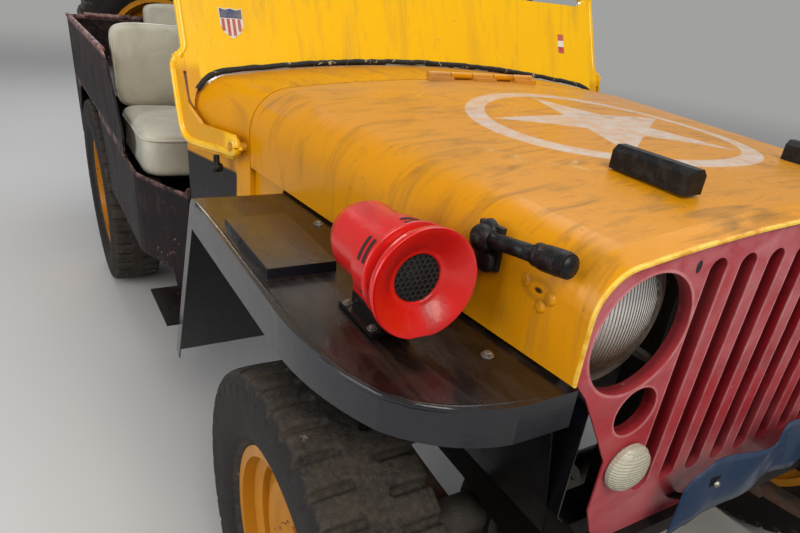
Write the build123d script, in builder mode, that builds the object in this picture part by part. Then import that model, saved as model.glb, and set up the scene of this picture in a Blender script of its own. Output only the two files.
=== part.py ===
from build123d import *
import os
from math import asin, atan2, cos, degrees, radians, sin, sqrt

# Open quarter-ton four-wheel-drive utility vehicle.
# Millimetres. +Z is up, the nose points to -Y, the vehicle's right side is -X.
# The origin is on the ground, under the middle of the vehicle's box.

# Driving dimensions: chassis
wheelbase = 2032.0
wheel_plane_x = 645.0          # middle of a tyre, from the centre line
bumper_reach = 545.0           # bumper face ahead of the front axle
tail_reach = 530.0             # tub's rear face behind the rear axle

tyre_tip_r = 346.0
tyre_half_width = 84.0
lug_height = 13.0
lug_count = 44                 # on each side of the tread
bead_r = 205.0
bead_half_width = 57.0
rim_gap = 0.3                  # between rim and tyre
spare_standoff = 60.0          # rim's middle plane behind the tub, less half the tyre
spare_x = -335.0
spare_z = 800.0

overall_length = bumper_reach + wheelbase + tail_reach + spare_standoff + 2 * tyre_half_width
front_y = -overall_length / 2
axle_f_y = front_y + bumper_reach
axle_r_y = axle_f_y + wheelbase
tail_y = axle_r_y + tail_reach
axle_z = tyre_tip_r

# Driving dimensions: front sheet metal, lengths counted from the front axle
grille_y = axle_f_y - 245.0
seam_y = axle_f_y + 618.0      # hood's rear edge
cowl_rear_y = axle_f_y + 868.0
sheet = 3.0
gap = 6.0                      # running gap between panels that move

hood_front_half = 452.0
hood_rear_half = 553.0
hood_front_top = 990.0
hood_rear_top = 1017.0
hood_front_crown = 2550.0
hood_rear_crown = 3900.0
hood_front_corner = 62.0
hood_rear_corner = 92.0
hood_front_low = 816.0
hood_rear_low = 832.0
cowl_rear_half = 622.0
cowl_rear_top = 1010.0

fender_half = 705.0
fender_front_y = axle_f_y - 250.0
fender_back_y = axle_f_y + 477.0
fender_foot_y = axle_f_y + 748.0
fender_front_z = 809.0
fender_back_z = 825.0
fender_foot_z = 350.0
flange = 66.0
skirt_flange = 26.0
nose_share = 0.8               # flange at the nose, as a part of its height along the side

tub_half = 715.0
floor_top = 602.0
floor_sheet = 5.0
tub_low = 478.0
sill_z = 696.0
tub_top = 936.0
wall = 6.0
seat_gap = 0.3                 # between pieces that rest on each other

rail_outer = 371.5
rail_width = 50.0
rail_depth = 90.0
rail_wall = 5.0
spring_x = rail_outer - rail_width / 2
axle_tube_r = 38.0
kingpin_x = 560.0

shield_half = 618.5
shield_y = axle_f_y + 862.0    # where the windshield's middle plane meets shield_z
shield_z = 978.0
shield_tilt = 23.7
shield_height = 590.0
shield_depth = 26.0
panel_height = 200.0
pivot_y = axle_f_y + 636.0
pivot_z = 868.0

os.makedirs("parts", exist_ok=True)


def save(shape, name):
    """Label a finished piece and write it under its own name."""
    shape.label = name
    export_step(shape, f"parts/{name}.step")


def side_plane(x):
    """A drawing plane at x that looks along +X, with Y to the right and Z up."""
    return Plane(origin=(x, 0, 0), x_dir=(0, 1, 0), z_dir=(1, 0, 0))


def along_y(y):
    """A drawing plane across the vehicle at y, with X to the right and Z up."""
    return Plane(origin=(0, y, 0), x_dir=(1, 0, 0), z_dir=(0, -1, 0))


# Arched sheet section, shared by hood and cowl
def arch_points(half, top, crown, corner, low):
    """Corner points and arc mid points of a crowned section with rounded shoulders."""
    crown_z = top - crown
    corner_x = half - corner
    corner_z = crown_z + sqrt((crown - corner) ** 2 - corner_x ** 2)
    reach = crown / (crown - corner)
    shoulder = (corner_x * reach, crown_z + (corner_z - crown_z) * reach)
    # the arc's middle lies halfway between the side's direction and the shoulder's
    up = (shoulder[0] - corner_x, shoulder[1] - corner_z)
    mid = (up[0] + corner, up[1])
    size = sqrt(mid[0] ** 2 + mid[1] ** 2)
    middle = (corner_x + mid[0] / size * corner, corner_z + mid[1] / size * corner)
    return {"low": (half, low), "side": (half, corner_z), "middle": middle,
            "shoulder": shoulder, "top": (0.0, top)}


def arch_face(half, top, crown, corner, low, thick):
    """Closed outline of a bent sheet with that section, thick to the inside."""
    outer = arch_points(half, top, crown, corner, low)
    inner = arch_points(half - thick, top - thick, crown - thick, corner - thick, low)

    def left(p):
        return (-p[0], p[1])

    Line(left(outer["low"]), left(outer["side"]))
    ThreePointArc(left(outer["side"]), left(outer["middle"]), left(outer["shoulder"]))
    ThreePointArc(left(outer["shoulder"]), outer["top"], outer["shoulder"])
    ThreePointArc(outer["shoulder"], outer["middle"], outer["side"])
    Line(outer["side"], outer["low"])
    Line(outer["low"], inner["low"])
    Line(inner["low"], inner["side"])
    ThreePointArc(inner["side"], inner["middle"], inner["shoulder"])
    ThreePointArc(inner["shoulder"], inner["top"], left(inner["shoulder"]))
    ThreePointArc(left(inner["shoulder"]), left(inner["middle"]), left(inner["side"]))
    Line(left(inner["side"]), left(inner["low"]))
    Line(left(inner["low"]), left(outer["low"]))



def filled_arch(half, top, crown, corner, low):
    """Closed outline of the whole space under that section."""
    p = arch_points(half, top, crown, corner, low)

    def left(q):
        return (-q[0], q[1])

    Line(left(p["low"]), left(p["side"]))
    ThreePointArc(left(p["side"]), left(p["middle"]), left(p["shoulder"]))
    ThreePointArc(left(p["shoulder"]), p["top"], p["shoulder"])
    ThreePointArc(p["shoulder"], p["middle"], p["side"])
    Line(p["side"], p["low"])
    Line(p["low"], left(p["low"]))


# Hood: one pressed sheet that tapers to the nose, with hinge knuckles along its rear edge
hood_nose_y = grille_y - 7.0
hood_rear_y = seam_y - gap / 2
hinge_z = hood_rear_top + 8.0
knuckle_r = 7.0
hinge_pin_r = 3.0
pin_fit = 0.05
knuckle_length = 58.0
knuckle_pitch = 60.0
hood_lip = 30.0                # length of the rounded lip at the nose
hood_lip_rise = 10.0
hood_taper = (hood_rear_half - hood_front_half) / (hood_rear_y - hood_nose_y)
hood_sections = (
    # y, half width, top, crown radius, corner radius, lower edge
    (hood_nose_y, hood_front_half, hood_front_top, hood_front_crown, hood_front_corner, hood_front_low),
    (hood_nose_y + hood_lip, hood_front_half + hood_taper * hood_lip, hood_front_top + hood_lip_rise,
     hood_front_crown + 350, hood_front_corner + 4, hood_front_low + 0.6),
    (hood_rear_y, hood_rear_half, hood_rear_top, hood_rear_crown, hood_rear_corner, hood_rear_low),
)
with BuildPart() as hood:
    for y, half, top, crown, corner, low in hood_sections:
        with BuildSketch(along_y(y)):
            with BuildLine():
                arch_face(half, top, crown, corner, low, sheet)
            make_face()
    loft(ruled=True)
    with Locations(*[Location((x, seam_y, hinge_z), (0, 90, 0)) for x in (-2 * knuckle_pitch, 0, 2 * knuckle_pitch)]):
        Cylinder(knuckle_r, knuckle_length)
    with Locations(*[(x, seam_y - 13, hinge_z - 6) for x in (-2 * knuckle_pitch, 0, 2 * knuckle_pitch)]):
        Box(knuckle_length, 20, 9)
    with Locations(Location((0, seam_y, hinge_z), (0, 90, 0))):
        Cylinder(hinge_pin_r + pin_fit, 8 * knuckle_pitch, mode=Mode.SUBTRACT)
save(hood.part, "hood")

# Hood fittings: two blocks for the folded windshield and two catch levers on the sides
block_x = 214.5
block_y = axle_f_y - 92.0
block_size = (31.0, 135.0, 33.0)


def hood_top_z(x, y):
    """Height of the hood's upper face."""
    near, far = hood_sections[1], hood_sections[2]
    t = (y - near[0]) / (far[0] - near[0])
    crown = near[3] + t * (far[3] - near[3])
    return near[2] + t * (far[2] - near[2]) - x * x / (2 * crown)


def hood_half(y):
    """Half width of the hood's sides."""
    t = (y - hood_nose_y) / (hood_rear_y - hood_nose_y)
    return hood_front_half + t * (hood_rear_half - hood_front_half)


block_base_z = hood_top_z(block_x - block_size[0] / 2, block_y + block_size[1] / 2) + seat_gap
catch_y = axle_f_y - 88.0
catch_z = 928.0
catch_end_y = axle_f_y - 197.0
catch_end_z = 953.0
catch_plate = 7.0
side_angle = degrees(atan2(hood_taper, 1))
catch_rise = degrees(atan2(catch_end_z - catch_z - 11, catch_y - catch_end_y))


def beside_hood(y, out):
    """Distance from the centre line of a point that far out from the hood's side."""
    return hood_half(y) + out / cos(radians(side_angle))


with BuildPart() as hood_fittings:
    with Locations(*[(s * block_x, block_y, block_base_z + block_size[2] / 2) for s in (-1, 1)]):
        Box(*block_size)
    chamfer(hood_fittings.edges().filter_by(Axis.Y).group_by(Axis.Z)[-1], 8)
    for s in (-1, 1):
        turn = -s * side_angle
        with Locations(Location((s * beside_hood(catch_y, catch_plate / 2 + seat_gap), catch_y, catch_z), (0, 0, turn))):
            Box(catch_plate, 40, 56)
        bar_y = (catch_y + catch_end_y) / 2
        bar_z = (catch_z + 11 + catch_end_z) / 2
        with Locations(Location((s * beside_hood(bar_y, 13), bar_y, bar_z), (-catch_rise, 0, turn))):
            Box(14, catch_y - catch_end_y + 16, 14)
        with Locations(Location((s * beside_hood(catch_end_y, 16), catch_end_y, catch_end_z), (90 - catch_rise, 0, turn))):
            Cylinder(14, 50)
save(hood_fittings.part, "hood_fittings")

# Cowl: the hood's form carried back and outwards, with firewall, dash and windshield pins
cowl_front_y = seam_y + gap / 2
cowl_low = floor_top + seat_gap
cowl_sections = (
    (cowl_front_y, hood_rear_half, hood_rear_top, hood_rear_crown, hood_rear_corner),
    (cowl_rear_y, cowl_rear_half, cowl_rear_top, hood_rear_crown, hood_rear_corner),
)
cowl_flare = (cowl_rear_half - hood_rear_half) / (cowl_rear_y - cowl_front_y)


def cowl_half(y):
    """Half width of the cowl's sides."""
    return hood_rear_half + cowl_flare * (y - cowl_front_y)


column_x = 330.0
column_foot = (column_x, axle_f_y + 190.0, 566.0)
column_head = (column_x, axle_f_y + 1150.0, 1120.0)
column_run = (Vector(*column_head) - Vector(*column_foot))
column_dir = column_run.normalized()
column_r = 20.0
pin_r = 9.0
arm_gap = 8.0
arm_plate = 8.0
# side shields under the hood's lower edge, behind the fenders' skirts
shield_nose = axle_f_y + 450.0
with BuildPart() as shield_band:
    with BuildSketch(Plane.XY.offset(560)):
        with BuildLine():
            front = hood_half(shield_nose) - 14
            rear = hood_half(hood_rear_y) - 12
            Polyline((front, shield_nose), (rear, cowl_front_y + 1), (rear - sheet, cowl_front_y + 1),
                     (front - sheet, shield_nose), close=True)
        make_face()
        mirror(about=Plane.YZ)
    extrude(amount=300)
with BuildPart() as shield_outline:
    with BuildSketch(side_plane(-600)):
        with BuildLine():
            Polyline((shield_nose, 829), (shield_nose, 840), (cowl_front_y + 1, 840), (cowl_front_y + 1, 606),
                     (shield_nose + 40, 829), close=True)
        make_face()
    extrude(amount=1200)
side_shields = shield_band.part & shield_outline.part
with BuildPart() as cowl:
    for y, half, top, crown, corner in cowl_sections:
        with BuildSketch(along_y(y)):
            with BuildLine():
                arch_face(half, top, crown, corner, cowl_low, sheet)
            make_face()
    loft(ruled=True)
    # firewall
    with BuildSketch(along_y(cowl_front_y)):
        with BuildLine():
            filled_arch(hood_rear_half - 1, hood_rear_top - 1, hood_rear_crown, hood_rear_corner, cowl_low)
        make_face()
    extrude(amount=-sheet)
    # dash: a band across under the rear edge
    with BuildSketch(along_y(cowl_rear_y - 30)):
        with BuildLine():
            filled_arch(cowl_half(cowl_rear_y - 30) - 1, cowl_rear_top - 1, hood_rear_crown,
                        hood_rear_corner, 838.0)
        make_face()
    extrude(amount=-sheet)
    # clearance for the steering column
    with Locations(Plane(origin=column_foot, z_dir=column_dir)):
        Cylinder(column_r + 3, column_run.length, align=(Align.CENTER, Align.CENTER, Align.MIN), mode=Mode.SUBTRACT)
    with Locations(*[Location((x, seam_y, hinge_z), (0, 90, 0)) for x in (-knuckle_pitch, knuckle_pitch)]):
        Cylinder(knuckle_r, knuckle_length)
    with Locations(*[(x, seam_y + 13, hinge_z - 6) for x in (-knuckle_pitch, knuckle_pitch)]):
        Box(knuckle_length, 20, 9)
    with Locations(Location((0, seam_y, hinge_z), (0, 90, 0))):
        Cylinder(hinge_pin_r, 5 * knuckle_pitch)
    add(side_shields)
    for s in (-1, 1):
        pin_x = cowl_half(pivot_y) - 1
        with Locations(Location((s * (pin_x + 17), pivot_y, pivot_z), (0, 90, 0))):
            Cylinder(pin_r, 34)
save(cowl.part, "cowl")

# Windshield: pressed frame with a deep lower panel, carried by two side arms
tilt = radians(shield_tilt)
shield_plane = Plane(origin=(0, shield_y, shield_z), x_dir=(1, 0, 0), z_dir=(0, -cos(tilt), sin(tilt)))
post = 38.0
window_low = panel_height + 26.0
window_high = shield_height - 36.0
divider = 12.0
window_x = (divider + shield_half - post) / 2
window_width = shield_half - post - divider
window_corner = 26.0
shield_skirt = 110.0


def window_outlines(shrink):
    """The two window openings, less shrink all round."""
    with Locations((-window_x, (window_low + window_high) / 2), (window_x, (window_low + window_high) / 2)):
        RectangleRounded(window_width - 2 * shrink, window_high - window_low - 2 * shrink, window_corner - shrink)


# side arms: slanted plates outside the cowl, down and forward to the pivots
arm_from_y = pivot_y - 30
arm_to_y = cowl_rear_y + 10
arm_from_x = cowl_half(arm_from_y) + arm_gap + 11
arm_to_x = cowl_half(arm_to_y) + arm_gap
with BuildPart() as arm_outline:
    with BuildSketch(side_plane(-shield_half - 60)):
        with BuildLine():
            Polyline(
                (pivot_y - 24, pivot_z), (pivot_y, pivot_z + 24), (pivot_y + 130, pivot_z + 18),
                (shield_y - 32, shield_z - 60), (shield_y - 6, shield_z + 30), (shield_y + 34, shield_z + 30),
                (shield_y + 6, shield_z - 50), (shield_y - 6, pivot_z - 30), (shield_y - 60, pivot_z - 42),
                (pivot_y, pivot_z - 24), close=True,
            )
        make_face()
    extrude(amount=2 * shield_half + 120)
with BuildPart() as arm_band:
    with BuildSketch(Plane.XY.offset(pivot_z - 200)):
        with BuildLine():
            Polyline(
                (arm_from_x, arm_from_y), (arm_to_x, arm_to_y),
                (arm_to_x + arm_plate, arm_to_y), (arm_from_x + arm_plate, arm_from_y), close=True,
            )
        make_face()
        mirror(about=Plane.YZ)
    extrude(amount=500)
arms = arm_outline.part & arm_band.part
with BuildPart() as windshield_frame:
    with BuildSketch(shield_plane):
        with Locations((0, (shield_height - shield_skirt) / 2)):
            RectangleRounded(2 * shield_half, shield_height + shield_skirt, 55)
    extrude(amount=shield_depth / 2, both=True)
    with BuildSketch(shield_plane):
        window_outlines(0)
    extrude(amount=shield_depth, both=True, mode=Mode.SUBTRACT)
    # the lower panel is a single sheet, open to the back
    with BuildSketch(shield_plane.offset(-shield_depth / 2)):
        with Locations((0, (panel_height - shield_skirt) / 2)):
            Rectangle(2 * (shield_half - post), panel_height + shield_skirt - 8)
    extrude(amount=shield_depth - 5, mode=Mode.SUBTRACT)
    # lower edge follows the cowl
    for y, half, top, crown, corner in cowl_sections:
        shift = -60 if y == cowl_front_y else 140
        with BuildSketch(along_y(y + shift)):
            with BuildLine():
                filled_arch(half + gap + shift * cowl_flare, top + gap, crown, corner, cowl_low)
            make_face()
    loft(ruled=True, mode=Mode.SUBTRACT)
    add(arms)
    # ears that tie the arms to the frame's lower corners
    for s in (-1, 1):
        with BuildSketch(shield_plane):
            with Locations((s * (shield_half + 2), 16)):
                Rectangle(2 * (arm_to_x - shield_half + 1), 40)
        extrude(amount=shield_depth / 2 - 2, both=True)
        with Locations(Location((s * (cowl_half(pivot_y) + arm_gap), pivot_y, pivot_z), (0, 90, 0))):
            Cylinder(pin_r + pin_fit, 60, mode=Mode.SUBTRACT)
save(windshield_frame.part, "windshield_frame")

# Windshield glass: two flat panes held in the frame
glass_thick = 5.0
with BuildPart() as windshield_glass:
    with BuildSketch(shield_plane):
        window_outlines(seat_gap)
    extrude(amount=glass_thick / 2, both=True)
save(windshield_glass.part, "windshield_glass")

# Grille: pressed sheet with nine slots, two lamp holes and two marker holes
slot_pitch = 61.2
slot_width = 33.8
slot_high = 950.0
slot_low = 577.0
slot_wall = 3.0
slot_depth = 20.0
lamp_x = 349.0
lamp_z = 860.0
lamp_hole_r = 83.0
marker_x = 312.5
marker_z = 739.0
marker_hole_r = 38.0
grille_foot_z = 495.5
grille_foot_half = 323.0
grille_waist_half = 343.0
grille_edge = 5.0              # hood's lip past the grille's edge


def slots(grow, high=slot_high, low=slot_low):
    """Nine slot outlines with round ends, each grown by that much."""
    with Locations(*[(i * slot_pitch, (high + low) / 2) for i in range(-4, 5)]):
        SlotOverall(high - low + 2 * grow, slot_width + 2 * grow, rotation=90)


grille_plane = along_y(grille_y)
with BuildPart() as grille:
    with BuildSketch(grille_plane):
        with BuildLine():
            top = arch_points(hood_front_half - sheet - grille_edge, hood_front_top - sheet - grille_edge,
                              hood_front_crown, hood_front_corner - sheet - grille_edge, hood_front_low)
            right = [top["side"], top["low"], (418, 787), (372, 712), (grille_waist_half, 662),
                     (grille_waist_half, 572), (grille_foot_half, 522), (grille_foot_half - 40, grille_foot_z)]
            Polyline(*right)
            Polyline(*[(-x, z) for x, z in right])
            Line(right[-1], (-right[-1][0], right[-1][1]))
            ThreePointArc(top["side"], top["middle"], top["shoulder"])
            ThreePointArc(top["shoulder"], top["top"], (-top["shoulder"][0], top["shoulder"][1]))
            ThreePointArc((-top["shoulder"][0], top["shoulder"][1]), (-top["middle"][0], top["middle"][1]),
                          (-top["side"][0], top["side"][1]))
        make_face()
    extrude(amount=-sheet)
    # rolled walls behind the slots and round the lamp holes
    with BuildSketch(grille_plane):
        slots(slot_wall)
        with Locations((-lamp_x, lamp_z), (lamp_x, lamp_z)):
            Circle(lamp_hole_r + slot_wall)
        with Locations((-marker_x, marker_z), (marker_x, marker_z)):
            Circle(marker_hole_r + slot_wall)
    extrude(amount=-slot_depth)
    with BuildSketch(grille_plane):
        slots(0)
        with Locations((-lamp_x, lamp_z), (lamp_x, lamp_z)):
            Circle(lamp_hole_r)
        with Locations((-marker_x, marker_z), (marker_x, marker_z)):
            Circle(marker_hole_r)
    extrude(amount=-slot_depth, mode=Mode.SUBTRACT)
save(grille.part, "grille")

# Headlamps behind the grille, each a turned bucket with a domed lens
bucket_r = 78.0
bucket_depth = 110.0
lens_r = 74.0
lamp_y = grille_y + 42.0
lamp_tabs = ((48.0, -84.0), (-72.0, -64.0))
with BuildPart() as headlamps:
    for s in (-1, 1):
        with BuildSketch(Plane(origin=(s * lamp_x, lamp_y, lamp_z), x_dir=(1, 0, 0), z_dir=(0, 0, 1))):
            with BuildLine():
                Polyline((0, bucket_depth), (26, bucket_depth), (bucket_r - 10, 34), (bucket_r, 15),
                         (98, 15), (98, 12), (bucket_r, 12), (bucket_r, 0),
                         (bucket_r - 4, 0), (bucket_r - 4, 12), (bucket_r - 14, 34), (22, bucket_depth - 4),
                         (0, bucket_depth - 4), close=True)
            make_face()
        revolve(axis=Axis((s * lamp_x, lamp_y, lamp_z), (0, 1, 0)))
        for dx, dz in lamp_tabs:
            tab_front = grille_y + sheet + seat_gap
            with Locations((s * (lamp_x + dx), (tab_front + lamp_y + 14) / 2, lamp_z + dz)):
                Box(12, lamp_y + 14 - tab_front, 9)
save(headlamps.part, "headlamps")
dome = 14.0
lens_edge_r = lens_r - seat_gap
dome_r = (lens_edge_r ** 2 + dome ** 2) / (2 * dome)
with BuildPart() as headlamp_lenses:
    for s in (-1, 1):
        with BuildSketch(Plane(origin=(s * lamp_x, lamp_y, lamp_z), x_dir=(1, 0, 0), z_dir=(0, 0, 1))):
            with BuildLine():
                Line((0, 8), (lens_edge_r, 8))
                Line((lens_edge_r, 8), (lens_edge_r, 4))
                half_way = lens_edge_r / 2
                drop = dome_r - sqrt(dome_r ** 2 - half_way ** 2)
                ThreePointArc((lens_edge_r, 4), (half_way, 4 - dome + drop), (0, 4 - dome))
                Line((0, 4 - dome), (0, 8))
            make_face()
        revolve(axis=Axis((s * lamp_x, lamp_y, lamp_z), (0, 1, 0)))
save(headlamp_lenses.part, "headlamp_lenses")

# Marker lamps at the grille's lower corners and tail lamps on the rear panel
marker_lamp_x = 300.0
marker_lamp_z = 646.0
marker_r = 38.0
marker_reach = 26.0
tail_lamp_x = 600.0
tail_lamp_z = 640.0
with BuildPart() as marker_lamps:
    for s in (-1, 1):
        for x, y, z, way in (
            (marker_lamp_x, grille_y - seat_gap, marker_lamp_z, -1),
            (tail_lamp_x, tail_y + seat_gap, tail_lamp_z, 1),
        ):
            with BuildSketch(Plane(origin=(s * x, y, z), x_dir=(1, 0, 0), z_dir=(0, 0, 1))):
                with BuildLine():
                    Polyline((0, 0), (marker_r * 0.9, 0), *[(marker_r * r, way * marker_reach * d) for r, d in (
                        (1, 0.15), (1, 0.4), (0.87, 0.7), (0.6, 0.91), (0.25, 1), (0, 1))], close=True)
                make_face()
            revolve(axis=Axis((s * x, y, z), (0, 1, 0)))
save(marker_lamps.part, "marker_lamps")

# Fenders: folded sheets with a flange all round, an inner apron and a raised lid on top
apron_top_x = 441.0
apron_foot_x = 385.0
apron_foot_z = 520.0
skirt_run = Vector(fender_foot_y - fender_back_y, fender_foot_z - fender_back_z).normalized()


def fender_profile(top_drop, skirt_drop):
    """Side outline of a face under the upper one, dropped by that much on the top and on the skirt."""
    top_slope = (fender_back_z - fender_front_z) / (fender_back_y - fender_front_y)
    foot = (fender_foot_y + skirt_run.Y * skirt_drop, fender_foot_z - skirt_run.X * skirt_drop)
    # where the two dropped lines meet
    reach = (fender_front_z - top_drop + top_slope * (foot[0] - fender_front_y) - foot[1])
    back = reach / (skirt_run.Y - top_slope * skirt_run.X)
    bend = (foot[0] + skirt_run.X * back, foot[1] + skirt_run.Y * back)
    return [(fender_front_y, fender_front_z - top_drop * nose_share), bend, foot]


def fender_plan(inset, reach):
    """Outline seen from above, inset from the outer and front edges."""
    x1 = fender_half - inset
    y0 = fender_front_y + inset
    Polyline((apron_top_x, reach), (apron_top_x, y0), (x1 - 179, y0))
    ThreePointArc((x1 - 179, y0), (x1 - 103, y0 + 28), (x1 - 47, y0 + 82))
    ThreePointArc((x1 - 47, y0 + 82), (x1 - 17, y0 + 158), (x1, y0 + 270))
    Polyline((x1, y0 + 270), (x1, reach), (apron_top_x, reach))


def fender_block(upper, lower, inset):
    """The space between two side outlines, cut to the plan outline."""
    with BuildPart() as outline:
        with BuildSketch(side_plane(0)):
            with BuildLine():
                Polyline(*(upper + lower[::-1]), close=True)
            make_face()
        extrude(amount=fender_half + 10)
        if inset == 0:
            fillet(outline.edges().filter_by(Axis.X).sort_by(Axis.Z)[-1], 40)
    with BuildPart() as plan:
        with BuildSketch():
            with BuildLine():
                fender_plan(inset, fender_foot_y + 60)
            make_face()
        extrude(amount=fender_back_z + 50)
    return outline.part & plan.part


def fender(side):
    with BuildPart() as piece:
        add(fender_block(fender_profile(0, 0), fender_profile(flange, skirt_flange), 0))
        add(fender_block(fender_profile(sheet, sheet), fender_profile(flange + 40, skirt_flange + 40), sheet),
            mode=Mode.SUBTRACT)
        # apron down beside the frame, with a foot on the rail
        for y, top in ((grille_y + 30, fender_front_z), (fender_back_y - 130, fender_back_z - 4)):
            with BuildSketch(along_y(y)):
                with BuildLine():
                    Polyline((apron_top_x, top), (apron_foot_x, apron_foot_z),
                             (apron_foot_x + sheet, apron_foot_z), (apron_top_x + sheet, top), close=True)
                make_face()
        loft(ruled=True)
        with Locations(((rail_outer + seat_gap + apron_foot_x + 2) / 2, axle_f_y + 120, apron_foot_z - 2)):
            Box(apron_foot_x + 2 - rail_outer - seat_gap, 70, 24)
        # raised lid
        with Locations((0.5 * (583 + 683), axle_f_y + 225, fender_front_z + 12)):
            Box(104, 210, 24)
    return piece.part if side > 0 else mirror(piece.part, about=Plane.YZ)


for side, name in ((-1, "fender_right"), (1, "fender_left")):
    save(fender(side), name)

# Siren on the right fender: bell, slotted drum and motor housing on a foot
siren_x = -582.0
siren_z = 903.0
siren_y = axle_f_y - 120.0
siren_foot_back = siren_y + 144.0
fender_slope = (fender_back_z - fender_front_z) / (fender_back_y - fender_front_y)
siren_seat_z = fender_front_z + fender_slope * (siren_foot_back - fender_front_y) + seat_gap
siren_profile = (
    # length behind the bell's mouth, radius
    (0.0, 68.0), (8.0, 68.0), (14.0, 60.0), (34.0, 52.0), (36.0, 57.0), (78.0, 57.0),
    (80.0, 50.0), (150.0, 50.0), (172.0, 42.0), (182.0, 22.0), (184.0, 0.0),
)
with BuildPart() as siren:
    with BuildSketch(Plane(origin=(siren_x, siren_y, siren_z), x_dir=(1, 0, 0), z_dir=(0, 0, 1))):
        with BuildLine():
            Polyline((0, 24), (44, 24), (64, 0), *[(r, d) for d, r in siren_profile], close=True)
        make_face()
    revolve(axis=Axis((siren_x, siren_y, siren_z), (0, 1, 0)))
    with Locations((siren_x, siren_y + 96, (siren_z - 30 + siren_seat_z) / 2)):
        Box(44, 84, siren_z - 30 - siren_seat_z)
    with Locations((siren_x, siren_y + 96, siren_seat_z + 3)):
        Box(76, 96, 6)
save(siren.part, "siren")

# Frame: two channel rails with cross tubes, spring hangers and body mounts
rail_line = (
    # y from the front axle, z of the rail's middle
    (-495.0, 445.0), (-230.0, 450.0), (0.0, 490.0), (400.0, 500.0),
    (wheelbase - 382.0, 505.0), (wheelbase - 132.0, 545.0), (wheelbase + 488.0, 545.0),
)


def rail_z(y):
    """Height of the rail's middle at y, counted from the front axle."""
    for (y0, z0), (y1, z1) in zip(rail_line, rail_line[1:]):
        if y <= y1:
            return z0 + (z1 - z0) * (y - y0) / (y1 - y0)
    return rail_line[-1][1]


def rail_outline(inset):
    h = rail_depth / 2 - inset
    top = [(axle_f_y + y, z + h) for y, z in rail_line]
    low = [(axle_f_y + y, z - h) for y, z in rail_line]
    Polyline(*(top + low[::-1]), close=True)


cross_members = (-462.0, -170.0, 70.0, wheelbase - 582.0, wheelbase + 458.0)
skid_low = 392.0
skid_sheet = 6.0
body_mounts = (700.0, 1250.0, wheelbase - 332.0, wheelbase + 428.0)
hitch_spacing = (90.0, 50.0)
hitch_hole_r = 6.5
spring_leaf = 8.0
spring_leaves = 3
spring_sag = 50.0
spring_width = 44.0
springs = ((0.0, 440.0), (wheelbase, 470.0))
spring_pad = 4.0
spring_top = axle_z - axle_tube_r - spring_pad
spring_eye_r = 15.0


def spring_lift(d, half):
    """How much the spring's curve rises d from its middle."""
    big_r = (half ** 2 + spring_sag ** 2) / (2 * spring_sag)
    return big_r - sqrt(big_r ** 2 - d ** 2)


hanger_thick = 10.0
with BuildPart() as frame:
    with BuildSketch(side_plane(rail_outer - rail_width)):
        with BuildLine():
            rail_outline(0)
        make_face()
    extrude(amount=rail_width)
    with BuildSketch(side_plane(rail_outer - rail_width)):
        with BuildLine():
            rail_outline(rail_wall)
        make_face()
    extrude(amount=rail_width - rail_wall, mode=Mode.SUBTRACT)
    for axle_at, half in springs:
        for end in (-half, half):
            eye_z = spring_top - spring_leaf / 2 + spring_sag
            top = rail_z(axle_at + end) - rail_depth / 2 + 2
            with Locations(*[(spring_x + s * (spring_width / 2 + hanger_thick / 2 + seat_gap), axle_f_y + axle_at + end,
                              (top + eye_z - spring_eye_r) / 2) for s in (-1, 1)]):
                Box(hanger_thick, 2 * spring_eye_r, top - eye_z + spring_eye_r)
            with Locations(Location((spring_x, axle_f_y + axle_at + end, eye_z), (0, 90, 0))):
                Cylinder(5, spring_width + hanger_thick)
    for y in body_mounts:
        mount_low = rail_z(y) + rail_depth / 2 - 2
        mount_top = floor_top - floor_sheet - seat_gap
        with Locations((spring_x, axle_f_y + y, (mount_low + mount_top) / 2)):
            Box(rail_width, 60, mount_top - mount_low)
    mirror(about=Plane.YZ)
    for y in cross_members:
        with Locations((0, axle_f_y + y, rail_z(y))):
            Box(2 * (rail_outer - rail_wall / 2), 60, 60)
    # seat for the grille
    seat_low = rail_z(-245) + 15
    with Locations((0, grille_y + 1, (grille_foot_z - seat_gap + seat_low) / 2)):
        Box(2 * (rail_outer - rail_wall / 2), 34, grille_foot_z - seat_gap - seat_low)
    # skid plate under the gearbox
    with Locations((0, axle_f_y + 730, skid_low + skid_sheet / 2)):
        Box(2 * rail_outer - 20, 200, skid_sheet)
    for s in (-1, 1):
        with Locations((s * (rail_outer - 20), axle_f_y + 730, (skid_low + rail_z(730) - 40) / 2)):
            Box(20, 200, rail_z(730) - 40 - skid_low)
    # hitch holes in the rear cross member
    with Locations(Location((0, axle_f_y + cross_members[-1], rail_z(cross_members[-1])), (90, 0, 0))):
        with GridLocations(*hitch_spacing, 2, 2):
            Hole(hitch_hole_r, 80)
save(frame.part, "frame")

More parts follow.
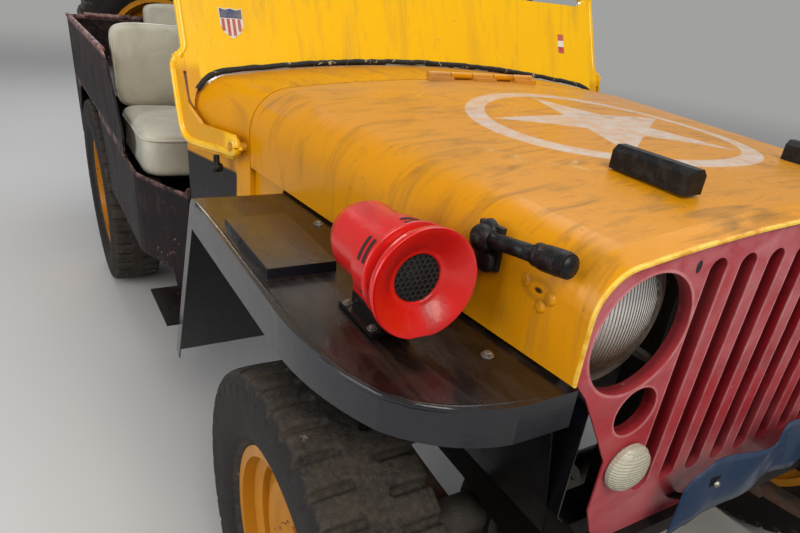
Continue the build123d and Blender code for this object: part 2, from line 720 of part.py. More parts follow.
# Leaf springs under the axles
with BuildPart() as leaf_springs:
    for axle_at, half in springs:
        for leaf in range(spring_leaves):
            reach = half * (1 - 0.28 * leaf)
            z0 = spring_top - spring_leaf * leaf
            lift = spring_lift(reach, half)
            mid = spring_lift(reach / 2, half)
            with BuildSketch(side_plane(spring_x - spring_width / 2)):
                with BuildLine():
                    y0 = axle_f_y + axle_at
                    ThreePointArc((y0 - reach, z0 + lift), (y0, z0), (y0 + reach, z0 + lift))
                    Line((y0 + reach, z0 + lift), (y0 + reach, z0 + lift - spring_leaf))
                    ThreePointArc((y0 + reach, z0 + lift - spring_leaf), (y0, z0 - spring_leaf),
                                  (y0 - reach, z0 + lift - spring_leaf))
                    Line((y0 - reach, z0 + lift - spring_leaf), (y0 - reach, z0 + lift))
                make_face()
            extrude(amount=spring_width)
        for end in (-half, half):
            with Locations(Location((spring_x, axle_f_y + axle_at + end, spring_top - spring_leaf / 2 + spring_sag), (0, 90, 0))):
                Cylinder(spring_eye_r, spring_width)
                Cylinder(5 + seat_gap, spring_width + 10, mode=Mode.SUBTRACT)
    mirror(about=Plane.YZ)
save(leaf_springs.part, "leaf_springs")

# Front bumper: a channel open to the rear, with a block for each rail
bumper_half = 650.0
bumper_high = 100.0
bumper_deep = 50.0
bumper_sheet = 6.0
bumper_bolt_r = 6.5
with BuildPart() as front_bumper:
    with Locations((0, front_y + bumper_deep / 2, rail_line[0][1])):
        Box(2 * bumper_half, bumper_deep, bumper_high)
    fillet(front_bumper.edges().filter_by(Axis.X).group_by(Axis.Y)[0], 8)
    with Locations((0, front_y + bumper_deep / 2 + bumper_sheet, rail_line[0][1])):
        Box(2 * bumper_half, bumper_deep, bumper_high - 2 * bumper_sheet, mode=Mode.SUBTRACT)
    with Locations(*[(s * spring_x, front_y + bumper_deep / 2 + 2, rail_line[0][1]) for s in (-1, 1)]):
        Box(rail_width, bumper_deep - 4 - 2 * seat_gap, bumper_high - 4)
    with Locations(*[Location((s * spring_x, front_y, rail_line[0][1] + dz), (90, 0, 0)) for s in (-1, 1) for dz in (-25, 25)]):
        Hole(bumper_bolt_r, 2 * bumper_deep)
save(front_bumper.part, "front_bumper")

# Rear bumpers: two short channels on the frame's end
with BuildPart() as rear_bumpers:
    rear_end = axle_f_y + rail_line[-1][0]
    for s in (-1, 1):
        with Locations((s * spring_x, rear_end + seat_gap + 45, rail_line[-1][1])):
            Box(130, 90, 80)
        with Locations((s * spring_x, rear_end + seat_gap + 45, rail_line[-1][1])):
            Box(140, 78, 68, mode=Mode.SUBTRACT)
save(rear_bumpers.part, "rear_bumpers")

# Axles: tubes with an offset differential; the front one ends in ball housings
diff_x = -215.0
diff_r = 112.0
diff_wide = 96.0
neck_r = 36.0
neck_reach = 150.0
spindle_r = 24.0
ball_r = 56.0
kingpin_r = 12.0
kingpin_half = 72.0
plate_r = 117.0
hub_in = 18.0                  # backing plate's inner face, outboard of the kingpin
spindle_end = 118.0


def axle_housing(y, way, half):
    """Tube, differential, pinion neck pointing way and spring pads."""
    with Locations(Location((0, y, axle_z), (0, 90, 0))):
        Cylinder(axle_tube_r, 2 * half)
    with Locations(Location((diff_x, y, axle_z), (90, 0, 0))):
        Cylinder(diff_r, diff_wide)
    with Locations(Location((diff_x, y - way * (diff_wide / 2 + 12), axle_z), (90, 0, 0))):
        Cylinder(diff_r - 22, 26)
    with Locations(Location((diff_x, y + way * neck_reach / 2, axle_z), (90, 0, 0))):
        Cylinder(neck_r, neck_reach)
    for s in (-1, 1):
        pad_low = spring_top + spring_lift(32, springs[0][1]) + seat_gap
        with Locations((s * spring_x, y, (pad_low + axle_z) / 2)):
            Box(spring_width, 64, axle_z - pad_low)


def around_pin(outer, inner, s):
    """Turned ball shapes at the kingpin: (length outboard, ball radius) for start and end of each arc."""

    def on_ball(u, r):
        return (s * u, sqrt(r ** 2 - u ** 2))

    with BuildPart() as ball:
        with BuildSketch(Plane(origin=(s * kingpin_x, axle_f_y, axle_z), x_dir=(1, 0, 0), z_dir=(0, -1, 0))):
            with BuildLine():
                (u0, r0), (u1, r1) = outer
                ThreePointArc(on_ball(u0, r0), on_ball((u0 + u1) / 2, r0), on_ball(u1, r1))
                Line(on_ball(u1, r1), (s * u1, 0))
                if inner:
                    (v0, q0), (v1, q1) = inner
                    Line((s * u1, 0), (s * v1, 0))
                    Line((s * v1, 0), on_ball(v1, q1))
                    ThreePointArc(on_ball(v1, q1), on_ball((v0 + v1) / 2, q0), on_ball(v0, q0))
                    Line(on_ball(v0, q0), on_ball(u0, r0))
                else:
                    Line((s * u1, 0), (s * u0, 0))
                    Line((s * u0, 0), on_ball(u0, r0))
            make_face()
        revolve(axis=Axis((s * kingpin_x, axle_f_y, axle_z), (1, 0, 0)))
    return ball.part


with BuildPart() as front_axle:
    axle_housing(axle_f_y, 1, kingpin_x - ball_r + 16)
    for s in (-1, 1):
        add(around_pin([(-42, ball_r), (54, ball_r)], [], s))
        with Locations((s * kingpin_x, axle_f_y, axle_z)):
            Cylinder(kingpin_r, 2 * kingpin_half)
save(front_axle.part, "front_axle")

with BuildPart() as rear_axle:
    axle_housing(axle_r_y, -1, kingpin_x + hub_in + 1)
    for s in (-1, 1):
        with Locations(Location((s * (kingpin_x + hub_in + 2), axle_r_y, axle_z), (0, 90, 0))):
            Cylinder(plate_r, 4)
        with Locations(Location((s * (kingpin_x + (hub_in + spindle_end) / 2), axle_r_y, axle_z), (0, 90, 0))):
            Cylinder(spindle_r, spindle_end - hub_in)
save(rear_axle.part, "rear_axle")

# Steering knuckles: shell over the ball, backing plate, spindle and steering arm
shell_in_r = 61.5
shell_out_r = 70.0
shell_mouth = 15.0             # how far the shell reaches inboard of the kingpin
arm_x = kingpin_x              # arms straight back, so the linkage is a parallelogram
arm_y = axle_f_y + 165.0
rod_z = axle_z + 60.0
ball_pin_r = 8.0
steer_arm_z = rod_z - 21.0


def knuckle(side):
    with BuildPart() as piece:
        add(around_pin([(-shell_mouth, shell_out_r), (66, shell_out_r)],
                       [(-shell_mouth, shell_in_r), (60, shell_in_r)], 1))
        with BuildSketch(Plane(origin=(kingpin_x + hub_in, axle_f_y, axle_z), x_dir=(0, 1, 0), z_dir=(1, 0, 0))):
            Circle(plate_r)
            Circle(shell_in_r + 4, mode=Mode.SUBTRACT)
        extrude(amount=4)
        with Locations(*[(kingpin_x, axle_f_y, axle_z + way * (kingpin_half - 5)) for way in (-1, 1)]):
            Cylinder(kingpin_r + 8, 18)
            Cylinder(kingpin_r + pin_fit, 40, mode=Mode.SUBTRACT)
        with Locations(Location((kingpin_x + (64 + spindle_end) / 2, axle_f_y, axle_z), (0, 90, 0))):
            Cylinder(spindle_r, spindle_end - 64)
        with BuildSketch(Plane.XY.offset(steer_arm_z - 7)):
            with BuildLine():
                Polyline((kingpin_x + hub_in + 2, axle_f_y + 52), (kingpin_x + hub_in + 2, axle_f_y + 96),
                         (arm_x + 10, arm_y + 18), (arm_x - 14, arm_y + 14), (arm_x - 14, arm_y - 12), close=True)
            make_face()
        extrude(amount=14)
        with Locations((arm_x, arm_y, (steer_arm_z + rod_z + 18) / 2)):
            Cylinder(ball_pin_r, rod_z + 18 - steer_arm_z)
    return piece.part if side > 0 else mirror(piece.part, about=Plane.YZ)


for side, name in ((-1, "knuckle_right"), (1, "knuckle_left")):
    save(knuckle(side), name)

# Tie rod between the steering arms
with BuildPart() as tie_rod:
    with Locations(Location((0, arm_y, rod_z), (0, 90, 0))):
        Cylinder(11, 2 * arm_x - 20)
    with Locations(*[(s * arm_x, arm_y, rod_z) for s in (-1, 1)]):
        Cylinder(17, 24)
        Cylinder(ball_pin_r + pin_fit, 40, mode=Mode.SUBTRACT)
save(tie_rod.part, "tie_rod")

# Engine and drive line, plain blocks
engine_base = rail_z(70) + 30 + seat_gap
with BuildPart() as engine:
    with Locations((0, axle_f_y + 290, engine_base + 150)):
        Box(280, 540, 300)
    with Locations((-190, axle_f_y + 300, engine_base + 215)):
        Box(110, 380, 70)
    with Locations(Location((0, axle_f_y + 10, engine_base + 230), (90, 0, 0))):
        Cylinder(170, 24)
    with Locations(Location((-195, axle_f_y + 300, engine_base + 290), (0, 0, 0))):
        Cylinder(70, 110)
save(engine.part, "engine")

gearbox_low = skid_low + skid_sheet + seat_gap
shaft_r = 22.0
shaft_z = gearbox_low + 55


def shaft(y0, z0, y1, z1):
    """A drive shaft at diff_x between two points."""
    run = Vector(0, y1 - y0, z1 - z0)
    with Locations(Plane(origin=(diff_x, y0, z0), z_dir=run)):
        Cylinder(shaft_r, run.length, align=(Align.CENTER, Align.CENTER, Align.MIN))


with BuildPart() as transmission:
    with Locations((0, axle_f_y + 720, gearbox_low + 80)):
        Box(190, 320, 160)
    with Locations((-150, axle_f_y + 760, gearbox_low + 62)):
        Box(240, 200, 124)
    shaft(axle_f_y + neck_reach + 5, axle_z + 1, axle_f_y + 670, shaft_z)
    shaft(axle_r_y - neck_reach - 3, axle_z + 1, axle_f_y + 850, shaft_z)
save(transmission.part, "transmission")

radiator_base = rail_z(-170) + 30 + seat_gap
with BuildPart() as radiator:
    with Locations((0, axle_f_y - 170, (radiator_base + 930) / 2)):
        Box(460, 50, 930 - radiator_base)
    with Locations((0, axle_f_y - 170, 945)):
        Box(380, 70, 34)
save(radiator.part, "radiator")

with BuildPart() as exhaust:
    with Locations(Location((165, axle_f_y + 1120, 450), (90, 0, 0))):
        Cylinder(58, 420)
    with Locations(Location((165, axle_f_y + 1120, 450), (90, 0, 0))):
        Cylinder(20, 620)
    with Locations(*[(165, axle_f_y + y, 540) for y in (960, 1280)]):
        Box(30, 20, 2 * (floor_top - floor_sheet - seat_gap - 540))
save(exhaust.part, "exhaust")

# Tub floor with toe board, cut out over the rear wheels
house_x = tub_half - 260.0
house_top = 780.0
house_front_y = axle_r_y - 392.0
house_back_y = axle_r_y + 388.0
corner_r = 60.0
side_start = (cowl_rear_half + 6.0, cowl_rear_y + 6.0)
side_bend_y = axle_f_y + 1090.0
floor_half = tub_half - wall - seat_gap
with BuildPart() as tub_floor:
    with BuildSketch(Plane.XY.offset(floor_top - floor_sheet)):
        with BuildLine():
            edge = [(cowl_half(cowl_front_y), cowl_front_y), (cowl_half(cowl_rear_y) - 1, cowl_rear_y)]
            edge += [(side_start[0] - wall - 2, side_start[1]), (floor_half - 50, side_bend_y - 110)]
            edge += [(floor_half, side_bend_y), (floor_half, house_front_y), (house_x - seat_gap, house_front_y)]
            edge += [(house_x - seat_gap, house_back_y), (floor_half, house_back_y), (floor_half, tail_y - corner_r)]
            edge += [(floor_half - corner_r, tail_y - wall - seat_gap)]
            Polyline(*(edge + [(-x, y) for x, y in edge[::-1]]), close=True)
        make_face()
    extrude(amount=floor_sheet)
    # toe board
    with BuildSketch(side_plane(-520)):
        with BuildLine():
            Polyline((cowl_front_y + 10, 770), (cowl_front_y + 14, 770), (cowl_front_y + 190, floor_top - 1),
                     (cowl_front_y + 186, floor_top - 1), close=True)
        make_face()
    extrude(amount=1040)
save(tub_floor.part, "tub_floor")


# Tub sides: bent in plan towards the cowl, cut to the side outline, with wheelhouse and step
step_z = 430.0
step_x = tub_half + 9.0
arch_outline = ((-395, 0), (-380, 110), (-270, 232), (270, 232), (372, 120), (388, 0))


def side_path(inset):
    """Plan outline of the side wall's outer face, moved in by inset."""
    flare = tub_half - side_start[0]
    return [(cowl_half(axle_f_y + 630) - inset, axle_f_y + 630), (side_start[0] - inset, side_start[1]),
            *[(side_start[0] + share * flare - inset, axle_f_y + y)
              for share, y in ((0.414, 944), (0.736, 1016), (0.931, 1060))],
            (tub_half - inset, side_bend_y), (tub_half - inset, tail_y - corner_r),
            (tub_half - 18 - inset * 0.7, tail_y - 18 - inset * 0.7), (tub_half - corner_r, tail_y - inset)]


def tub_side(side):
    with BuildPart() as band:
        with BuildSketch(Plane.XY.offset(step_z - 10)):
            with BuildLine():
                Polyline(*(side_path(0) + side_path(wall)[::-1]), close=True)
            make_face()
        extrude(amount=tub_top - step_z + 20)
    with BuildPart() as outline:
        with BuildSketch(side_plane(300)):
            with BuildLine():
                top = [(941, tub_low), (929, step_z - 6), (734, step_z - 6), (700, tub_low)]
                top += [(632, floor_top - floor_sheet - 1), (874, floor_top - floor_sheet - 1), (874, 712)]
                top += [(886, sill_z), (1262, sill_z), (1240, 714), (1235, 742), (1262, 780), (1330, 850)]
                top += [(1400, 905), (1450, 928), (1500, tub_top), (wheelbase + tail_reach + 5, tub_top)]
                top += [(wheelbase + tail_reach + 5, tub_low), ]
                arch = [(wheelbase + y, tub_low + z) for y, z in arch_outline[::-1]]
                Polyline(*[(axle_f_y + y, z) for y, z in top + arch], close=True)
            make_face()
        extrude(amount=500)
    with BuildPart() as piece:
        add(band.part & outline.part)
        # wheelhouse
        middle_y = (house_front_y + house_back_y) / 2
        length = house_back_y - house_front_y
        with Locations((house_x + 3, middle_y, (floor_top - 60 + house_top) / 2)):
            Box(6, length, house_top - floor_top + 60)
        with Locations(((house_x + tub_half - 3) / 2, middle_y, house_top - 3)):
            Box(tub_half - house_x - 3, length, 6)
        for y in (house_front_y + 3, house_back_y - 3):
            with Locations(((house_x + tub_half - 3) / 2, y, (floor_top - 60 + house_top) / 2)):
                Box(tub_half - house_x - 3, 6, house_top - floor_top + 60)
        # bead along the top
        with Locations(Location((tub_half - 4, (axle_f_y + 1500 + tail_y - corner_r) / 2, tub_top), (90, 0, 0))):
            Cylinder(9, tail_y - corner_r - axle_f_y - 1500)
        # step
        with Locations(((560 + step_x) / 2, axle_f_y + (736 + 936) / 2, step_z - 3)):
            Box(step_x - 560, 200, 6)
    return piece.part if side > 0 else mirror(piece.part, about=Plane.YZ)


for side, name in ((-1, "tub_side_right"), (1, "tub_side_left")):
    save(tub_side(side), name)

# Tub rear panel with the spare wheel's carrier
can_spacing = (200.0, 120.0)
can_x = 330.0
can_z = 760.0
can_hole_r = 4.5
carrier_r = 76.0
with BuildPart() as tub_rear:
    with Locations((0, tail_y - wall / 2, (floor_top - floor_sheet - 10 + tub_top) / 2)):
        Box(2 * (tub_half - corner_r - seat_gap), wall, tub_top - floor_top + floor_sheet + 10)
    with Locations(Location((0, tail_y - 4, tub_top), (0, 90, 0))):
        Cylinder(9, 2 * (tub_half - corner_r - seat_gap) - 20)
    with Locations(Location((spare_x, tail_y + (spare_standoff + tyre_half_width - 1 - seat_gap) / 2, spare_z), (90, 0, 0))):
        Cylinder(carrier_r, spare_standoff + tyre_half_width - 1 - seat_gap)
    with Locations(Location((can_x, tail_y, can_z), (90, 0, 0))):
        with GridLocations(*can_spacing, 2, 2):
            Hole(can_hole_r, 2 * wall)
save(tub_rear.part, "tub_rear")

# Seats: tube frames and padded cushions
seat_x = tub_half - 250.0
seat_half = 225.0
seat_front_y = axle_f_y + 1090.0
seat_rear_y = axle_f_y + 1480.0
cushion_low = 665.0
cushion_top = 800.0
leg = 24.0
back_y = axle_f_y + 1545.0
back_thick = 75.0
rear_half = tub_half - 275.0
rear_seat_y = axle_r_y + 48.0
rear_seat_deep = 400.0
with BuildPart() as seat_frames:
    for s in (-1, 1):
        for x in (seat_x - seat_half + 30, seat_x + seat_half - 30):
            for y in (seat_front_y + 30, seat_rear_y - 30):
                with Locations((s * x, y, (floor_top + cushion_low) / 2)):
                    Box(leg, leg, cushion_low - floor_top - 2 * seat_gap)
            with Locations((s * x, (seat_front_y + back_y + 40) / 2, cushion_low - 12 - seat_gap)):
                Box(leg, back_y + 40 - seat_front_y, leg)
            with Locations((s * x, back_y + 26, (cushion_low - 12 + 940) / 2)):
                Box(leg, leg, 940 - cushion_low + 12)
        with Locations((s * seat_x, seat_rear_y - 30, cushion_low - 12 - seat_gap)):
            Box(2 * seat_half - 60, leg, leg)
    for x in (-rear_half + 30, rear_half - 30):
        for y in (rear_seat_y + 20, rear_seat_y + rear_seat_deep - 20):
            with Locations((x, y, (floor_top + cushion_low + 40) / 2)):
                Box(leg, leg, cushion_low + 40 - floor_top - 2 * seat_gap)
        with Locations((x, rear_seat_y + rear_seat_deep + 26, (cushion_low + 28 + 960) / 2)):
            Box(leg, leg, 960 - cushion_low - 28)
        with Locations((x, rear_seat_y + (rear_seat_deep + 40) / 2, cushion_low + 28 - seat_gap)):
            Box(leg, rear_seat_deep + 40, leg)
    with Locations((0, rear_seat_y + rear_seat_deep - 20, cushion_low + 28 - seat_gap)):
        Box(2 * rear_half - 60, leg, leg)
save(seat_frames.part, "seat_frames")


def cushion(x, y, z, wide, deep, high, soft):
    """A padded block with soft edges."""
    with BuildPart() as pad:
        with Locations((x, y, z)):
            Box(wide, deep, high)
        fillet(pad.edges(), soft)
    return pad.part


for s, side_name in ((-1, "right"), (1, "left")):
    save(cushion(s * seat_x, (seat_front_y + seat_rear_y) / 2, (cushion_low + cushion_top) / 2,
                 2 * seat_half, seat_rear_y - seat_front_y, cushion_top - cushion_low, 22),
         f"seat_cushion_{side_name}")
    save(cushion(s * seat_x, back_y + 14 - seat_gap - 38, 891, 2 * seat_half, back_thick, 242, 20),
         f"seat_back_{side_name}")
save(cushion(0, rear_seat_y + rear_seat_deep / 2, cushion_low + 40 + 40, 2 * rear_half, rear_seat_deep, 80, 20),
     "rear_seat_cushion")
save(cushion(0, rear_seat_y + rear_seat_deep + 14 - seat_gap - 32, 912, 2 * rear_half, 64, 200, 20),
     "rear_seat_back")

# Steering column with its box, and the wheel
wheel_rim_r = 195.0
wheel_rod_r = 10.0
column_pin_r = 10.0
with BuildPart() as steering_column:
    with Locations(Plane(origin=column_foot, z_dir=column_dir)):
        Cylinder(column_r, column_run.length - 30, align=(Align.CENTER, Align.CENTER, Align.MIN))
        Cylinder(column_pin_r, column_run.length + 10, align=(Align.CENTER, Align.CENTER, Align.MIN))
    with Locations((column_x + 2, axle_f_y + 190, (rail_z(245) + rail_depth / 2 + seat_gap + 610) / 2)):
        Box(44, 110, 610 - rail_z(245) - rail_depth / 2 - seat_gap)
save(steering_column.part, "steering_column")

with BuildPart() as steering_wheel:
    wheel_plane = Plane(origin=column_head, x_dir=(1, 0, 0), z_dir=column_dir)
    with BuildSketch(Plane(origin=wheel_plane.origin, x_dir=(1, 0, 0), z_dir=wheel_plane.y_dir)):
        with Locations((wheel_rim_r, 0)):
            RegularPolygon(wheel_rod_r, 8)
    revolve(axis=Axis(wheel_plane.origin, column_dir))
    with Locations(wheel_plane):
        Cylinder(32, 40)
        with PolarLocations(wheel_rim_r / 2, 3, start_angle=90):
            Box(wheel_rim_r - 10, 12, 8)
    with Locations(wheel_plane):
        Cylinder(column_pin_r + pin_fit, 24, align=(Align.CENTER, Align.CENTER, Align.MAX), mode=Mode.SUBTRACT)
        Cylinder(column_pin_r + pin_fit, 11, align=(Align.CENTER, Align.CENTER, Align.MIN), mode=Mode.SUBTRACT)
save(steering_wheel.part, "steering_wheel")

# Wheels: rim, dished disc, hub and brake drum, drawn round the X axis with the outer face to +X
bore_fit = 0.05
nut_circle_r = 69.85
rim_line = ((57.3, 219.0), (57.3, 204.7), (38.0, 203.0), (28.0, 188.0))
rim_back = ((61.5, 219.0), (61.5, 200.5), (40.0, 199.0), (30.0, 184.0))
disc_line = ((-1, 36), (4, 36), (4, 90), (30, 135), (30, 150), (16, 187), (12, 187), (25, 150), (25, 137), (-1, 93))


def turned(points):
    """Revolve an outline given as (along the axle, radius)."""
    with BuildPart() as ring:
        with BuildSketch(Plane(origin=(0, 0, 0), x_dir=(1, 0, 0), z_dir=(0, -1, 0))):
            with BuildLine():
                Polyline(*points, close=True)
            make_face()
        revolve(axis=Axis.X)
    return ring.part


def wheel_body(with_drum):
    with BuildPart() as piece:
        add(turned([(-u, r) for u, r in rim_line] + list(rim_line[::-1])
                   + list(rim_back) + [(-u, r) for u, r in rim_back[::-1]]))
        add(turned(disc_line))
        if with_drum:
            hub_bore = spindle_r + bore_fit
            add(turned([(-61, 120), (-61, 112), (-8, 112), (-8, spindle_r + 16), (-13, spindle_r + 16),
                        (-13, hub_bore), (38, hub_bore), (38, 39), (2, 39), (2, 112), (-1, 120)]))
        nuts = [Location((10, nut_circle_r * cos(radians(90 + 72 * i)), nut_circle_r * sin(radians(90 + 72 * i))), (0, 90, 0))
                for i in range(5)]
        with Locations(*nuts):
            Cylinder(9, 14)
    return piece.part


# Tyre: carcass, centre band and a ring of lugs on each side, half a pitch apart, drawn round the X axis
band_half = 16.0
tread_half = 79.0
lug_wide = 33.0
lug_foot = 38.0
root_r = tyre_tip_r - lug_height
shoulder_r = root_r - 4
pitch = 360 / lug_count


def lug_ring(turn):
    """Outline of one ring of lugs: at each lug a foot, a flat tip and the other foot."""
    tip_lean = atan2(lug_wide / 2, tyre_tip_r)
    foot_lean = asin(lug_foot / 2 / root_r)
    tip_r = tyre_tip_r / cos(radians(pitch / 2) - tip_lean)
    corners = ((-foot_lean, root_r), (-tip_lean, tip_r), (tip_lean, tip_r), (foot_lean, root_r))
    around = [(radians(-90 + turn + i * pitch) + lean, r) for i in range(lug_count) for lean, r in corners]
    return [(r * cos(a), r * sin(a)) for a, r in around]


with BuildPart() as tyre:
    with BuildSketch(Plane(origin=(0, 0, 0), x_dir=(1, 0, 0), z_dir=(0, -1, 0))):
        with BuildLine():
            half = [(0, tyre_tip_r - 1), (band_half, tyre_tip_r - 1), (band_half, shoulder_r), (70, shoulder_r),
                    (tyre_half_width - 2, 312), (tyre_half_width, 288), (tyre_half_width - 3, 252), (68, 228),
                    (bead_half_width, 219), (bead_half_width, bead_r)]
            Polyline(*(half + [(-u, r) for u, r in half[:0:-1]]), close=True)
        make_face()
    revolve(axis=Axis.X)
    for start, turn in ((band_half - 2, 0), (-tread_half, pitch / 2)):
        with BuildSketch(side_plane(start)):
            with BuildLine():
                Polyline(*lug_ring(turn), close=True)
            make_face()
            Circle(shoulder_r - 14, mode=Mode.SUBTRACT)
        extrude(amount=tread_half - band_half + 2)

outer_face = {"front_right": (-1, axle_f_y), "front_left": (1, axle_f_y), "rear_right": (-1, axle_r_y),
              "rear_left": (1, axle_r_y)}
for place, (side, y) in outer_face.items():
    spot = Location((side * wheel_plane_x, y, axle_z), (0, 0, 0 if side > 0 else 180))
    save(wheel_body(True).moved(spot), f"wheel_{place}")
    save(tyre.part.moved(spot), f"tyre_{place}")
spare_spot = Location((spare_x, tail_y + spare_standoff + tyre_half_width, spare_z), (0, 0, 90))
save(wheel_body(False).moved(spare_spot), "spare_wheel")
save(tyre.part.moved(spare_spot), "spare_tyre")
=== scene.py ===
from math import cos, pi, radians, sin, sqrt

import bmesh
import bpy
from mathutils import Matrix, Vector, noise


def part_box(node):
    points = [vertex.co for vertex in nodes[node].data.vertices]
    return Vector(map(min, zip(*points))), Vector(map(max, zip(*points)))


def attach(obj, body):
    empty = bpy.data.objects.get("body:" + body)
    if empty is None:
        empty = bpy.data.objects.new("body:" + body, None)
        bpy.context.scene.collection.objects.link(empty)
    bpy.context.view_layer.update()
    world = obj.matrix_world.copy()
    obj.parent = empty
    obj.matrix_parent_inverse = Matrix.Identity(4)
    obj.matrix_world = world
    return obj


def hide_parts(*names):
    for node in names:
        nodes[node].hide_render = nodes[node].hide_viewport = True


# Open utility vehicle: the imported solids, dressed in the order in which a shop puts them together.
# Places are in metres, nose to -Y, the vehicle's right side at -X, and lengths along it are counted
# from the front axle, as a body shop takes them.
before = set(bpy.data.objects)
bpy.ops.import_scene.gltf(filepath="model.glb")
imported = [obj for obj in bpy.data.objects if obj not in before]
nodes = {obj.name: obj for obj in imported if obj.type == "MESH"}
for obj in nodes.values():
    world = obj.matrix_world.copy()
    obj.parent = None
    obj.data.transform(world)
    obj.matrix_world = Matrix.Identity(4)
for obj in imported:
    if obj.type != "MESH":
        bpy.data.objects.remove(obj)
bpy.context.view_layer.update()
tyre_low, tyre_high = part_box("tyre_front_right")
axle = (tyre_low.y + tyre_high.y) / 2


# Frame: two channel rails with their cross members, bumpers, seat frames, radiator and steering column.
# All are pressed or rolled steel, welded and riveted, then brushed with black paint. Under dust and
# grease it gives no gloss, only brown where it has chipped.
def linear(hex_colour):
    """sRGB hex to the linear colour that a socket takes."""
    parts = [int(hex_colour[i:i + 2], 16) / 255 for i in (1, 3, 5)]
    return (*[c / 12.92 if c <= 0.04045 else ((c + 0.055) / 1.055) ** 2.4 for c in parts], 1.0)


def node(tree, kind, inputs=(), out=0, **settings):
    """Add a shader node with its settings and links, and give one of its outputs.

    An input given as a socket is linked, anything else is its value."""
    made = tree.nodes.new("ShaderNode" + kind)
    for name, value in settings.items():
        setattr(made, name, value)
    for place, value in inputs.items() if isinstance(inputs, dict) else enumerate(inputs):
        if isinstance(value, bpy.types.NodeSocket):
            tree.links.new(value, made.inputs[place])
        else:
            made.inputs[place].default_value = value
    return made.outputs[out]


def new_finish(name, colour):
    """A new material in one colour, with its tree, its shader and the place on the piece at rest."""
    material = bpy.data.materials.new(name)
    material.use_nodes = True
    tree = material.node_tree
    shader = tree.nodes["Principled BSDF"]
    shader.inputs["Base Color"].default_value = linear(colour)
    return material, tree, shader, node(tree, "TexCoord", (), "Object")


def speckle(tree, place, scale, low, high, detail=4.0, distortion=0.0):
    """Blotches, about that many to a metre, stretched so that low is bare and high is full."""
    cloud = node(tree, "TexNoise", {"Vector": place, "Scale": scale, "Detail": detail,
                                    "Roughness": 0.6, "Distortion": distortion})
    return node(tree, "MapRange", (cloud, low, high, 0.0, 1.0))


def recoat(tree, shader, colour, cover, *masks):
    """Lay another colour over the finish, with that share of cover where every mask is 1."""
    for mask in masks:
        cover = node(tree, "Math", (mask, cover), operation="MULTIPLY")
    base = shader.inputs["Base Color"]
    under = base.links[0].from_socket if base.is_linked else tuple(base.default_value)
    laid = node(tree, "Mix", {0: cover, 6: under, 7: linear(colour)}, 2, data_type="RGBA")
    tree.links.new(laid, base)


def enamel(name, colour, haze, grime, chip, rough=0.32, haze_share=0.5, chips=0.66, gloss=0.12,
           run=(9.0, 2.2, 1.0)):
    """Sprayed enamel, decades old and never cut back.

    Its broad highlight breaks up in haze and orange peel. Grime lies in streaks that run along one
    way, thickest on what faces up, and small chips go down to the primer."""
    material, tree, shader, place = new_finish(name, colour)
    cloud = speckle(tree, place, 3.2, 0.38, 0.68, 6.0, 0.6)
    recoat(tree, shader, haze, haze_share, cloud)
    up = node(tree, "SeparateXYZ", (node(tree, "NewGeometry", (), "Normal"),), "Z")
    streaks = node(tree, "Mapping", {"Vector": place, "Scale": run})
    soil = speckle(tree, streaks, 2.4, 0.50, 0.78, 7.0, 1.2)
    lying = node(tree, "Math", (up, 0.35, 0.45), operation="MULTIPLY_ADD", use_clamp=True)
    settled = node(tree, "Math", (soil, lying), operation="MULTIPLY")
    recoat(tree, shader, grime, 1.0, settled)
    spots = speckle(tree, place, 85.0, chips, chips + 0.02, 3.0)
    patches = speckle(tree, place, 7.0, 0.55, 0.62)
    flaked = node(tree, "Math", (spots, patches), operation="MULTIPLY")
    recoat(tree, shader, chip, 1.0, flaked)
    dull = node(tree, "Math", (settled, 0.30, rough), operation="MULTIPLY_ADD")
    dull = node(tree, "Math", (cloud, 0.10, dull), operation="MULTIPLY_ADD")
    dull = node(tree, "Math", (flaked, 0.3, dull), operation="MULTIPLY_ADD", use_clamp=True)
    tree.links.new(dull, shader.inputs["Roughness"])
    shader.inputs["Specular IOR Level"].default_value = 0.15 + gloss
    shader.inputs["Coat Weight"].default_value = gloss
    shader.inputs["Coat Roughness"].default_value = 0.10
    # orange peel 6 mm across on slow ripples of 110 mm, with a step down at each chip
    peel = speckle(tree, place, 160.0, 0.3, 0.7, 2.0)
    ripple = speckle(tree, place, 9.0, 0.3, 0.7, 2.0)
    height = node(tree, "Math", (flaked, -0.6, peel), operation="MULTIPLY_ADD")
    height = node(tree, "Math", (ripple, 6.0, height), operation="MULTIPLY_ADD")
    uneven = node(tree, "Bump", {"Strength": 0.22, "Distance": 0.0006, "Height": height})
    tree.links.new(uneven, shader.inputs["Normal"])
    return material, tree, shader, place


def dress(material, *names):
    """Give CAD nodes this material in every slot."""
    for name in names:
        for slot in nodes[name].material_slots:
            slot.material = material
        if not nodes[name].material_slots:
            nodes[name].data.materials.append(material)


frame_black = enamel(
    "black_frame_paint", "#121110", "#1e1a17", "#3a3026", "#5a3e2c",
    rough=0.55, haze_share=0.6, chips=0.64, gloss=0.0)[0]
dress(frame_black, "frame", "front_bumper", "rear_bumpers", "seat_frames", "steering_column", "radiator")

